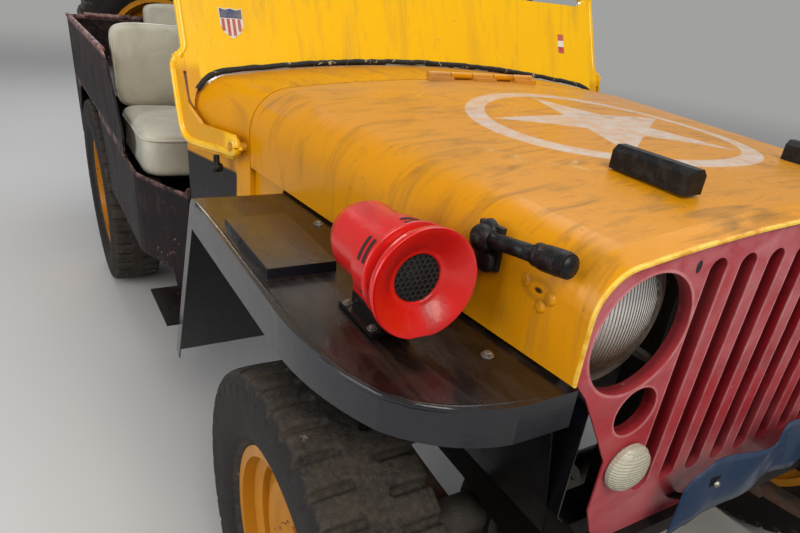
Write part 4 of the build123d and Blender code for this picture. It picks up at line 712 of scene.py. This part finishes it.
verts, faces = [], []
cols, rows = 60, 8
for back in (0.0, plate_thick):
    for i in range(cols + 1):
        x = plate_right + (plate_left - plate_right) * i / cols
        wave = 0.006 * sin(x * 21.0) + 0.004 * sin(x * 47.0 + 1.0) + 0.08 * max(0.0, -x - 0.12)
        for k in range(rows + 1):
            h = (k / rows - 0.5) * plate_high
            twist = h * 0.08 * sin(x * 30)
            verts.append((x, axle + plate_y + wave + back + twist, follow(plate_rise, x) + h))
behind = (cols + 1) * (rows + 1)
for i in range(cols):
    for k in range(rows):
        a = i * (rows + 1) + k
        b = a + rows + 1
        faces.append((a, b, b + 1, a + 1))
        faces.append((a + behind, a + 1 + behind, b + 1 + behind, b + behind))
border = [i * (rows + 1) for i in range(cols + 1)] + [cols * (rows + 1) + k for k in range(1, rows + 1)]
border += [i * (rows + 1) + rows for i in range(cols - 1, -1, -1)] + list(range(rows - 1, 0, -1))
faces += [(a, a + behind, b + behind, b) for a, b in zip(border, border[1:] + border[:1])]
plate = build("blank_number_plate", verts, faces, plate_blue, "chassis")


# Plate straps: two flat steel bars bent at each end, bolted through the plate with round heads.
# They reach forward from the grille's foot, one near each end of the plate, in the frame's black.
def surface_ahead(name, x, z, from_y):
    """Where a CAD node's front skin lies, seen from the nose, or None where there is none."""
    hit, spot, *_ = nodes[name].ray_cast(Vector((x, from_y, z)), Vector((0, 1, 0)))
    return spot.y if hit else None


def bar(name, path, wide, thick, material, body):
    """A flat bar that follows a path, wide along X."""
    across = Vector((1, 0, 0))
    points = [Vector(p) for p in path]
    verts, faces = [], []
    for i, point in enumerate(points):
        run = (points[min(i + 1, len(points) - 1)] - points[max(i - 1, 0)]).normalized()
        up = across.cross(run).normalized()
        for s, t in ((-1, -1), (1, -1), (1, 1), (-1, 1)):
            verts.append(point + across * (s * wide / 2) + up * (t * thick / 2))
    last = (len(points) - 1) * 4
    for base in range(0, last, 4):
        for k in range(4):
            a, b = base + k, base + (k + 1) % 4
            faces.append((a, b, b + 4, a + 4))
    faces.append((3, 2, 1, 0))
    faces.append((last, last + 1, last + 2, last + 3))
    return build(name, verts, faces, material, body, False)


def bolt(name, spot, out, r, high, material, body, domed=False):
    """A bolt's head: a chamfered hexagon on its washer, or a low dome."""
    spot, out = Vector(spot), Vector(out).normalized()
    foot = r * 0.22
    washer = [(-0.001, r * 1.55), (r * 0.16, r * 1.55), (foot, r * 1.45), (foot, r * 1.02)]
    head = [(foot, r), (foot + high * 0.8, r), (foot + high, r * 0.82), (foot + high, 0.0005)]
    if domed:
        washer = []
        head = [(-0.001, r), (high * 0.35, r), (high * 0.75, r * 0.8), (high, r * 0.45), (high, 0.0005)]
    side = out.orthogonal().normalized()
    up = out.cross(side)
    verts, faces = [], []
    count, rows = 24, len(washer + head)
    for i in range(count):
        a = 2 * pi * i / count
        flats = 1.0 if domed else cos(pi / 6) / cos(a % (pi / 3) - pi / 6)
        section = washer + [(along, reach * flats) for along, reach in head]
        verts += [spot + out * along + (side * cos(a) + up * sin(a)) * reach for along, reach in section]
        j = (i + 1) % count
        for k in range(rows - 1):
            faces.append((i * rows + k, i * rows + k + 1, j * rows + k + 1, j * rows + k))
    faces.append(tuple(i * rows + rows - 1 for i in range(count))[::-1])
    return build(name, verts, faces, material, body, domed)


strap_z = 0.560
strap_wide, strap_thick = 0.022, 0.003
for side, x in (("right", -0.145), ("left", 0.245)):
    root = surface_ahead("grille", x, strap_z, -3.0) or axle - 0.245
    path = [(x, root + 0.002, strap_z - 0.03), (x, root - 0.004, strap_z - 0.03),
            (x, axle - 0.285, strap_z - 0.005), (x, axle - 0.2975, strap_z + 0.012),
            (x, axle - 0.2985, strap_z + 0.05)]
    bar(f"plate_strap_{side}", path, strap_wide, strap_thick, frame_black, "chassis")
    bolt(f"plate_bolt_{side}", (x, axle + plate_y, strap_z + 0.040), (0, -1, 0), 0.0055, 0.004,
         zinc, "chassis", True)

# Siren: a bell and a drum, spun and pressed from steel, in bright red stoving enamel, nearly new.
# Only the seams and the bell's lip show wear, so the highlights stay clean and tight. Its foot is black.
foot_top = 0.838
siren_x, siren_z = -0.582, 0.903
siren_paint, tree, shader, place = enamel(
    "red_stoving_enamel", "#cc140e", "#bc1212", "#6a1412", "#e07a70",
    rough=0.20, haze_share=0.25, chips=0.74, gloss=0.25)
recoat(tree, shader, "#100d0c", 1.0, band(tree, from_axle(tree, place)[2], 0.5, foot_top, 0.001))
dress(siren_paint, "siren")
mouth = Vector((siren_x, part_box("siren")[0].y, siren_z))
# the bell's rolled rim and the fan housing's flange behind it, spun from the same sheet
turned("siren_rolled_rim", mouth, (0, 1, 0),
       [(0.0002, 0.0668), (-0.0004, 0.0674), (0.0, 0.0682), (0.003, 0.0688), (0.008, 0.0684),
        (0.010, 0.0675)], siren_paint, "chassis", 96)
turned("siren_fan_flange", mouth, (0, 1, 0),
       [(0.0325, 0.050), (0.0325, 0.0625), (0.0340, 0.0640), (0.0360, 0.0640), (0.0375, 0.0625),
        (0.0375, 0.0570)], siren_paint, "chassis", 96)

# Screen in the siren's mouth: expanded steel mesh with hexagonal holes, painted black.
# Each hole is 6 mm across the flats with webs of about 1.5 mm, held in a turned red ring. Behind it
# stands a dark back plate with the rotor's hub.
screen_paint, tree, shader, place = new_finish("black_expanded_mesh", "#262424")
grit = speckle(tree, place, 200.0, 0.4, 0.7, 3.0)
dull = node(tree, "Math", (grit, 0.25, 0.4), operation="MULTIPLY_ADD")
tree.links.new(dull, shader.inputs["Roughness"])
hole_pitch = 0.0075
hole_r = 0.0037
screen_r = 0.0315
screen_thick = 0.002
screen_y = mouth.y + 0.0205
hexagon = [(sin(k * pi / 3), cos(k * pi / 3)) for k in range(6)]
verts, faces = [], []
for row in range(-5, 6):
    for col in range(-5, 6):
        cx = hole_pitch * (col + 0.5 * (row % 2))
        cz = hole_pitch * row * sqrt(3) / 2
        if sqrt(cx * cx + cz * cz) > screen_r - 0.001:
            continue
        base = len(verts)
        for r, back in ((hole_pitch / sqrt(3), 0.0), (hole_r, 0.0), (hole_r, screen_thick)):
            for px, pz in hexagon:
                verts.append((mouth.x + cx + r * px, screen_y + back, mouth.z + cz + r * pz))
        for k in range(6):
            n = (k + 1) % 6
            faces.append((base + k, base + n, base + 6 + n, base + 6 + k))
            faces.append((base + 6 + k, base + 6 + n, base + 12 + n, base + 12 + k))
screen = build("siren_screen", verts, faces, screen_paint, "chassis", False)
turned("siren_screen_ring", (mouth.x, screen_y - 0.001, mouth.z), (0, 1, 0),
       [(0.002, 0.0300), (0.0, 0.0308), (-0.0012, 0.0322), (-0.001, 0.0345), (-0.0025, 0.0372),
        (-0.0062, 0.0418), (-0.0110, 0.0482), (-0.0155, 0.0548), (-0.0190, 0.0606), (-0.0212, 0.0650),
        (-0.0218, 0.0672)],
       siren_paint, "chassis")
dark_inside, tree, shader, place = new_finish("dark_siren_inside", "#0c0a0a")
soot = speckle(tree, place, 90.0, 0.4, 0.7)
dull = node(tree, "Math", (soot, 0.2, 0.6), operation="MULTIPLY_ADD")
tree.links.new(dull, shader.inputs["Roughness"])
turned("siren_back_plate", (mouth.x, mouth.y + 0.0237, mouth.z), (0, 1, 0),
       [(-0.0007, 0.0005), (-0.0007, 0.012), (0.0, 0.013), (0.0, 0.0335)], dark_inside, "chassis")

# Air slots in the siren's drum: five pairs of narrow windows round it, not cut but drawn as thin near
# black plates bent to the drum's skin, whose black is painted shade of the openings. A rolled red edge is
# left standing between them.
drum_r = 0.0574
drum_y = mouth.y + 0.057
slot_wide, slot_deep = 0.031, 0.0055
slot_lift = 0.0003
for pair in range(5):
    for part, shift in enumerate((-0.0055, 0.0055)):
        verts, faces = [], []
        for i in range(7):
            a = radians(-62 + 72 * pair) + (i / 6 - 0.5) * slot_wide / drum_r
            out = drum_r + slot_lift
            for k in range(3):
                along = drum_y + shift + (k / 2 - 0.5) * slot_deep
                verts.append((mouth.x + out * sin(a), along, mouth.z + out * cos(a)))
        for i in range(6):
            for k in range(2):
                a, b = i * 3 + k, (i + 1) * 3 + k
                faces.append((a, b, b + 1, a + 1))
        # painted shade: a near black plate where the window opens
        build(f"siren_slot_{pair}_{part}", verts, faces, dark_inside, "chassis")

# Hood: one pressed steel panel in traffic yellow enamel, hinged at the cowl, with a ring and a star.
# The stencil is thin greyish white that has worn through. Oily dirt lies round it, and the paint has
# gone purplish brown towards the windshield.
ring_y = 0.202
ring_inner, ring_outer = 0.234, 0.271
star_tip = 0.226
top_from = 0.955               # the hood's top lies above this height, its sides below
haze_from, haze_full, haze_end = 0.40, 0.60, 0.620
boss_y, boss_z = -0.172, 0.904
boss_long, boss_high = 0.026, 0.015
hood_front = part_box("hood")[0].y - axle
hood_paint, tree, shader, place = enamel(
    "yellow_enamel_hood", "#d88e00", "#bd8208", "#70522a", "#4a3420",
    rough=0.27, haze_share=0.45, chips=0.70, gloss=0.07,
    run=(3.0, 11.0, 3.0))
x, y, z = from_axle(tree, place)
on_top = band(tree, z, top_from, 1.2, 0.002)
seen_above = node(tree, "CombineXYZ", {"X": x, "Y": y})
radius = node(tree, "VectorMath", (seen_above, (0.0, ring_y, 0.0)), "Value", operation="DISTANCE")
ring = band(tree, radius, ring_inner, ring_outer, 0.0012)
# a star of five points: fold the angle into half a point, then test against its straight side, which
# faces a fifth of a turn away from the tip
ahead = node(tree, "Math", (y, ring_y), operation="SUBTRACT")
turn = node(tree, "Math", (x, ahead), operation="ARCTAN2")
turn = node(tree, "Math", (turn, pi / 5), operation="ADD")
turn = node(tree, "Math", (turn, 2 * pi / 5), operation="FLOORED_MODULO")
turn = node(tree, "Math", (turn, pi / 5), operation="SUBTRACT")
turn = node(tree, "Math", (turn,), operation="ABSOLUTE")
turn = node(tree, "Math", (turn, 2 * pi / 5), operation="SUBTRACT")
reach = node(tree, "Math", (node(tree, "Math", (turn,), operation="COSINE"), radius), operation="MULTIPLY")
star_side = star_tip * cos(2 * pi / 5)
star = node(tree, "MapRange", (reach, star_side - 0.0006, star_side + 0.0006, 1.0, 0.0))
worn = speckle(tree, place, 38.0, 0.36, 0.60, 8.0, 0.4)
thin = node(tree, "Math", (worn, 0.42, 0.40), operation="MULTIPLY_ADD")
recoat(tree, shader, "#cfc6bd", thin, node(tree, "Math", (ring, star), operation="MAXIMUM"), on_top)
# overspray and rubbed patches outside the ring
recoat(tree, shader, "#e0c489", 0.4, band(tree, radius, 0.285, 0.36, 0.03), on_top,
       speckle(tree, place, 22.0, 0.60, 0.70, 6.0, 1.5))
# purplish brown haze at the rear edge, under the windshield
rear_haze = node(tree, "MapRange", (y, haze_from, haze_full, 0.0, 0.75))
recoat(tree, shader, "#a58468", 0.55, rear_haze, band(tree, y, 0.0, haze_end, 0.003), on_top,
       speckle(tree, place, 6.0, 0.30, 0.62, 6.0, 1.0))
# oily smudges that hands and rags have drawn across the top
smears = node(tree, "Mapping", {"Vector": place, "Scale": (2.6, 16.0, 2.0)})
recoat(tree, shader, "#6b4e22", 0.55, on_top, speckle(tree, smears, 2.0, 0.58, 0.72, 8.0, 2.2))
# the pale yellow line along the front lip: partly a painted highlight on its rolled edge, partly paint
# worn off there; speckles break it up
recoat(tree, shader, "#fad85c", 0.75, band(tree, y, -0.300, hood_front + 0.004, 0.0008),
       speckle(tree, place, 40.0, 0.35, 0.55, 5.0))
# one faint dirt line down the side where a strap has rubbed
recoat(tree, shader, "#7a5a2a", 0.25, band(tree, y, 0.285, 0.292, 0.003), band(tree, z, 0.82, 0.95, 0.02))
# pressed boss under the catch: a bruised oval with a bolt hole
on_side = band(tree, z, 0.80, 0.96, 0.002)
seen_beside = node(tree, "CombineXYZ", {"Y": y, "Z": z})
oval = (1.0, 1 / boss_long, 1 / boss_high)
squashed = node(tree, "VectorMath", (seen_beside, oval), operation="MULTIPLY")
boss_middle = (0.0, boss_y / boss_long, boss_z / boss_high)
from_boss = node(tree, "VectorMath", (squashed, boss_middle), "Value", operation="DISTANCE")
recoat(tree, shader, "#9a6a18", 0.55, on_side, band(tree, from_boss, 0.55, 1.0, 0.15))
recoat(tree, shader, "#3a2410", 1.0, on_side, band(tree, from_boss, -1.0, 0.22, 0.06))
dress(hood_paint, "hood")

# Hood fittings: rubber rest blocks with chamfered tops, and cast catches, all brushed black and bolted on.
# The rubber is dull with dusty edges, and the catches are glossier where hands have rubbed them.
block_black, tree, shader, place = new_finish("brushed_black_fittings", "#0f0e0e")
dusty = speckle(tree, place, 60.0, 0.45, 0.75, 6.0)
recoat(tree, shader, "#383430", 0.5, dusty)
dull = node(tree, "Math", (dusty, 0.35, 0.34), operation="MULTIPLY_ADD")
tree.links.new(dull, shader.inputs["Roughness"])
shader.inputs["Specular IOR Level"].default_value = 0.25
strokes = speckle(tree, place, 130.0, 0.3, 0.7)
uneven = node(tree, "Bump", {"Strength": 0.35, "Distance": 0.001, "Height": strokes})
tree.links.new(uneven, shader.inputs["Normal"])
dress(block_black, "hood_fittings")


# Hood catches: a cast lever on two riveted lugs, with a round boss at its pivot and a rubber tipped end.
# The castings are rounded where the CAD solids are plain bars, so these shells lie over them.
def surface_beside(name, y, z, side):
    """How far out a CAD node's skin lies, seen from one side, or None where there is none."""
    hit, spot, *_ = nodes[name].ray_cast(Vector((side * 1.2, y, z)), Vector((-side, 0, 0)))
    return spot.x if hit else None


for letter, side in (("r", -1), ("l", 1)):
    root = Vector((0.0, axle - 0.088, 0.939))
    tip = Vector((0.0, axle - 0.197, 0.953))
    for point, inset in ((root, 0.007), (tip, 0.014)):
        point.x = surface_beside("hood_fittings", point.y, point.z, side) - side * inset
    lever = tip - root
    tube(f"catch_lever_{letter}", [root + lever * share for share in (-0.02, 0.25, 0.5, 0.74)],
         [0.0105, 0.0100, 0.0098, 0.0100], block_black, "hood", 16)
    turned(f"catch_tip_{letter}", tip, lever,
           [(-0.0250, 0.0005), (-0.0250, 0.0105), (-0.0235, 0.0128), (-0.0190, 0.0128), (-0.0175, 0.0118),
            (-0.0160, 0.0142), (-0.0100, 0.0152), (0.0080, 0.0152), (0.0190, 0.0149), (0.0255, 0.0120),
            (0.0285, 0.0060), (0.0290, 0.0005)], block_black, "hood", 32)
    turned(f"catch_boss_{letter}", (root.x - side * 0.012, root.y + 0.002, root.z - 0.001), (side, 0, 0),
           [(0.0, 0.0175), (0.018, 0.0175), (0.023, 0.0150), (0.0245, 0.0100), (0.0245, 0.0070),
            (0.0275, 0.0065), (0.0285, 0.0040), (0.0285, 0.0005)], block_black, "hood", 32)
    skin_x = surface_beside("hood_fittings", axle - 0.104, 0.912, side)
    for k, z in enumerate((0.910, 0.944)):
        y = axle - 0.088 + 0.004 * k
        turned(f"catch_lug_{letter}{k}", (skin_x - side * 0.004, y, z), (side, 0, 0),
               [(0.0, 0.0165), (0.007, 0.0165), (0.0105, 0.0145), (0.0120, 0.0100), (0.0120, 0.0005)],
               block_black, "hood", 28)
    # three bolt heads on the boss, painted over with the hood, where an older catch was fixed
    for k, (dy, dz) in enumerate(((-0.019, -0.003), (0.020, 0.005), (-0.008, -0.017))):
        y, z = axle + boss_y + dy, boss_z + dz
        skin_x = surface_beside("hood", y, z, side)
        turned(f"old_bolt_{letter}{k}", (skin_x - side * 0.001, y, z), (side, 0, 0),
               [(0.0, 0.0085), (0.0028, 0.0080), (0.0042, 0.0062), (0.0048, 0.0035), (0.0049, 0.0005)],
               hood_paint, "hood", 20)

# Windshield: a pressed panel and a tube frame in a fresher, brighter yellow enamel, on two arms.
# The arms' flat cheeks, inside their rolled edge, are laid in a deeper yellow: painted shade of the rolled
# edge.
cheek_out = (0.590, 0.70)
cheek_along = (0.58, 0.905)
cheek_high = (0.80, 0.99)
shield_paint, tree, shader, place = enamel(
    "bright_yellow_enamel", "#f5be00", "#edb010", "#b98a2c", "#8a7a60",
    rough=0.26, haze_share=0.35, chips=0.70, gloss=0.10)
x, y, z = from_axle(tree, place)
beyond = node(tree, "Math", (x,), operation="ABSOLUTE")
# painted shade: a deeper yellow on the arms' flat cheeks
recoat(tree, shader, "#c98600", 0.75, band(tree, beyond, *cheek_out, 0.002),
       band(tree, y, *cheek_along, 0.004), band(tree, z, *cheek_high, 0.01))
dress(shield_paint, "windshield_frame")

# Window glass: flat clear panes held in the windshield's frame.
# A film of road dust lies on them and dulls their shine in clouds.
glass, tree, shader, place = new_finish("clear_window_glass", "#f2f6f4")
shader.inputs["Transmission Weight"].default_value = 1.0
shader.inputs["IOR"].default_value = 1.5
film = speckle(tree, place, 12.0, 0.45, 0.75, 6.0)
dull = node(tree, "Math", (film, 0.06, 0.02), operation="MULTIPLY_ADD")
tree.links.new(dull, shader.inputs["Roughness"])
dress(glass, "windshield_glass")

# Weather seal: a strip of extruded black rubber along the windshield's foot, its skin worn white.
# It is a tube bent over the crowned cowl, pressed a little flat where it lies on the sheet.
seal_rubber, tree, shader, place = new_finish("extruded_rubber_seal", "#121110")
skin = speckle(tree, place, 55.0, 0.60, 0.66, 8.0, 0.8)
recoat(tree, shader, "#c2b690", 1.0, skin)
shader.inputs["Roughness"].default_value = 0.75
crust = node(tree, "Bump", {"Strength": 0.5, "Distance": 0.001, "Height": skin})
tree.links.new(crust, shader.inputs["Normal"])
seal_half, seal_r, seal_flat = 0.600, 0.0065, 0.9
look_from, look_step = 1.06, 0.002
before_shield = axle + 0.3
seal_path = []
for i in range(81):
    x = -seal_half + 2 * seal_half * i / 80
    # down the panel's face, step by step, to the last place that still has sheet behind it
    lowest = None
    for step in range(60):
        z = look_from - look_step * step
        front = surface_ahead("windshield_frame", x, z, before_shield)
        if front is None:
            break
        lowest = (x, front - 0.003, z)
    if lowest:
        seal_path.append(lowest)
tube("windshield_seal", seal_path, [seal_r + 0.0012 * noise.noise(Vector(p) * 40) for p in seal_path],
     seal_rubber, "windshield", 10, False, seal_flat)

# Stickers on the windshield's panel: vinyl film, matt and a little faded, in plain bands of colour.
# A striped shield lies at the right end and a small red, white and red flag at the left one.
film_thick = 0.0006


def film_piece(name, outline, lift, colour):
    """A flat film cut to an outline of points (x, z), its face that far off the windshield's panel."""
    material, tree, shader, place = new_finish(name + "_film", colour)
    fade = speckle(tree, place, 60.0, 0.35, 0.7, 5.0)
    recoat(tree, shader, "#b9a98a", 0.35, fade)
    dull = node(tree, "Math", (fade, 0.2, 0.42), operation="MULTIPLY_ADD")
    tree.links.new(dull, shader.inputs["Roughness"])
    panel = [surface_ahead("windshield_frame", x, z, before_shield) for x, z in outline]
    verts = []
    for off in (lift, lift - film_thick):
        verts += [(x, front - off, z) for (x, z), front in zip(outline, panel)]
    n = len(outline)
    faces = [tuple(range(n)), tuple(range(n, 2 * n))[::-1]]
    faces += [(k, k + n, (k + 1) % n + n, (k + 1) % n) for k in range(n)]
    return build(name, verts, faces, material, "windshield", False)


shield_x, shield_z = -0.505, 1.076
half_w, half_h = 0.026, 0.030
shield = ((-1.0, -0.1), (-0.72, -0.62), (0.0, -1.0), (0.72, -0.62), (1.0, -0.1), (1.0, 1.0), (0.5, 0.90),
          (0.0, 1.0), (-0.5, 0.90), (-1.0, 1.0))
film_piece("sticker_shield", [(shield_x + a * half_w, shield_z + b * half_h) for a, b in shield],
           0.0007, "#d8d4cc")
head = ((-1.0, 0.35), (1.0, 0.35), (1.0, 1.0), (0.5, 0.90), (0.0, 1.0), (-0.5, 0.90), (-1.0, 1.0))
head = [(shield_x + a * half_w * 0.94, shield_z + b * half_h * 0.95) for a, b in head]
film_piece("sticker_shield_head", head, 0.0013, "#23365e")
for k, low in enumerate((-0.50, -0.80, -0.80, -0.50)):
    left = -0.86 + 0.46 * k
    stripe = ((left, low), (left + 0.26, low), (left + 0.26, 0.28), (left, 0.28))
    stripe = [(shield_x + a * half_w, shield_z + b * half_h) for a, b in stripe]
    film_piece(f"sticker_shield_bar_{k}", stripe, 0.0013, "#a83238")
flag_x, flag_z = 0.480, 1.088
flag_half = 0.011
for k, (low, high, colour) in enumerate(((-0.024, -0.008, "#b4272c"), (-0.008, 0.008, "#e6e0d4"),
                                         (0.008, 0.024, "#b4272c"))):
    stripe = ((-flag_half, low), (flag_half, low), (flag_half, high), (-flag_half, high))
    film_piece(f"sticker_flag_{k}", [(flag_x + a, flag_z + b) for a, b in stripe], 0.0008, colour)

# Rolled edges of the windshield's arms: steel rod bent round the arm's lower edge and brazed on.
# It is in the arm's yellow, glossier where sleeves have rubbed it. A black clamp knob on a stud hangs
# below it near the pivot.
rod_r = 0.0090
arm_edge = (
    (0.876, 0.990), (0.868, 0.955), (0.860, 0.915), (0.853, 0.880), (0.846, 0.856), (0.828, 0.842),
    (0.800, 0.840), (0.750, 0.844), (0.700, 0.850), (0.664, 0.853), (0.640, 0.854), (0.626, 0.860),
    (0.621, 0.870), (0.626, 0.881), (0.638, 0.884))
edge_paint = enamel(
    "rolled_edge_enamel", "#f5be00", "#edb010", "#a87a24", "#8a7a60",
    rough=0.22, haze_share=0.35, chips=0.70, gloss=0.30)[0]
for letter, side in (("r", -1), ("l", 1)):
    rod = []
    # down the frame's side post, then along the arm; a ray further in than 0.5 has missed both
    for step in range(12):
        z = 1.20 - 0.018 * step
        front = surface_ahead("windshield_frame", side * 0.585, z, before_shield)
        if front is not None:
            out_x = surface_beside("windshield_frame", front + 0.010, z, side)
            if out_x is not None and abs(out_x) > 0.5:
                rod.append(Vector((out_x - side * 0.006, front + 0.008, z)))
    arm_x = None
    for y, z in arm_edge:
        out_x = surface_beside("windshield_frame", axle + y, z, side)
        if out_x is not None and abs(out_x) > 0.5:
            arm_x = out_x
        if arm_x is not None:
            rod.append(Vector((arm_x - side * 0.001, axle + y, z)))
    tube(f"arm_rolled_edge_{letter}", eased(rod, 3), rod_r, edge_paint, "windshield", 14)
    turned(f"clamp_knob_{letter}", (side * 0.604, axle + 0.684, 0.806), (0, 0, 1),
           [(0.0, 0.0), (0.0, 0.008), (0.003, 0.0125), (0.012, 0.0130), (0.016, 0.0110), (0.0175, 0.0065),
            (0.034, 0.0060), (0.034, 0.0)], block_black, "windshield", 20)

# Fasteners that show: three bolts on each fender's top and four through the siren's foot.
# They are zinc plated steel, gone dull, each on its washer.
for letter, side, fender in (("r", -1, "fender_right"), ("l", 1, "fender_left")):
    for k, (x, y) in enumerate(((0.520, 0.060), (0.535, 0.300), (0.500, -0.150))):
        z = surface_below(fender, side * x, axle + y)
        if z is not None:
            bolt(f"fender_bolt_{letter}{k}", (side * x, axle + y, z), (0, 0, 1), 0.0055, 0.004,
                 zinc, "chassis")
for k, y in enumerate((mouth.y + 0.060, mouth.y + 0.132)):
    for letter, x in (("a", siren_x - 0.031), ("b", siren_x + 0.031)):
        z = surface_below("siren", x, y, foot_top + 0.002)
        if z is not None:
            bolt(f"siren_bolt_{k}{letter}", (x, y, z), (0, 0, 1), 0.0045, 0.004, zinc, "chassis")

# Floor of the studio: pale, plain and matt. Far from the vehicle it runs over into the backdrop's
# colour, so that no horizon shows.
backdrop = linear("#e6e6e4")
backdrop_strength = 0.45
studio, tree, shader, place = new_finish("pale_studio_floor", "#cfcdc9")
shader.inputs["Roughness"].default_value = 0.9
away = node(tree, "VectorMath", (place,), "Value", operation="LENGTH")
share = node(tree, "MapRange", (away, 4.0, 11.0, 0.0, 1.0), interpolation_type="SMOOTHSTEP")
far = node(tree, "Emission", {"Color": backdrop, "Strength": backdrop_strength})
blend = node(tree, "MixShader", (share, shader.outputs[0], far))
tree.links.new(blend, tree.nodes["Material Output"].inputs["Surface"])
mesh = bpy.data.meshes.new("studio_floor")
mesh.from_pydata([(-40, -40, 0), (40, -40, 0), (40, 40, 0), (-40, 40, 0)], [], [(0, 1, 2, 3)])
floor = bpy.data.objects.new("studio_floor", mesh)
bpy.context.scene.collection.objects.link(floor)
mesh.materials.append(studio)

# Backdrop: pale where the camera sees it, directly, in a reflection or through glass.
# What it throws on the vehicle is a darker, cooler grey.
world = bpy.data.worlds.new("studio_sky")
bpy.context.scene.world = world
world.use_nodes = True
tree = world.node_tree
sky = tree.nodes["Background"]
seen = node(tree, "LightPath", (), "Is Camera Ray")
for kind in ("Is Glossy Ray", "Is Transmission Ray"):
    seen = node(tree, "Math", (seen, node(tree, "LightPath", (), kind)), operation="MAXIMUM")
shown = node(tree, "Mix", {0: seen, 6: linear("#a8acb4"), 7: backdrop}, 2, data_type="RGBA")
tree.links.new(shown, sky.inputs["Color"])
sky.inputs["Strength"].default_value = backdrop_strength

# Lamps: a large soft box above and ahead, as a garage's daylight, one under the roof, a fill from the
# right and a strip behind. Each has its place, its aim, two sizes in metres, watts and a colour.
for name, stand_at, aim, size, power, colour in (
        ("key_softbox", (-1.2, -4.6, 4.2), (0.0, -0.6, 0.6), (3.0, 3.0), 215.0, "#fff8ee"),
        ("roof_softbox", (1.6, 0.4, 4.6), (0.0, -0.3, 0.6), (3.6, 3.6), 100.0, "#f4f7ff"),
        ("side_fill", (-4.6, -0.8, 1.9), (0.0, -0.3, 0.7), (2.6, 2.6), 95.0, "#f4f6ff"),
        ("rear_strip", (-0.5, 5.4, 3.4), (-0.4, 0.2, 0.9), (2.2, 0.5), 60.0, "#f8fbff")):
    lamp = bpy.data.lights.new(name, "AREA")
    lamp.shape = "RECTANGLE"
    lamp.size, lamp.size_y = size
    lamp.energy = power
    lamp.color = linear(colour)[:3]
    stand = bpy.data.objects.new(name, lamp)
    stand.location = stand_at
    stand.rotation_euler = (Vector(aim) - Vector(stand_at)).to_track_quat("-Z", "Y").to_euler()
    bpy.context.scene.collection.objects.link(stand)

# Camera at the photograph's place: above the right fender's front, looking back and down.
# Focal length and shift are in pixels of the photograph, as they were solved.
photo_wide = 800
focal, shift_right, shift_up = 625.8, -15.1, 62.7
eye = Vector((-0.9430, axle - 0.6492, 1.1967))
yaw, pitch, roll = radians(33.7), radians(28.7), radians(7.1)
forward = Vector((sin(yaw) * cos(pitch), cos(yaw) * cos(pitch), -sin(pitch)))
level = Vector((cos(yaw), -sin(yaw), 0))
above = level.cross(forward)
right = level * cos(roll) + above * sin(roll)
top = -level * sin(roll) + above * cos(roll)
lens = bpy.data.cameras.new("photograph_camera")
lens.sensor_width = 36.0
lens.lens = focal * lens.sensor_width / photo_wide
lens.shift_x = shift_right / photo_wide
lens.shift_y = shift_up / photo_wide
lens.clip_start = 0.02
camera = bpy.data.objects.new("photograph_camera", lens)
camera.matrix_world = Matrix.Translation(eye) @ Matrix((right, top, -forward)).transposed().to_4x4()
bpy.context.scene.collection.objects.link(camera)
bpy.context.scene.camera = camera
bpy.context.scene.view_settings.view_transform = "Standard"
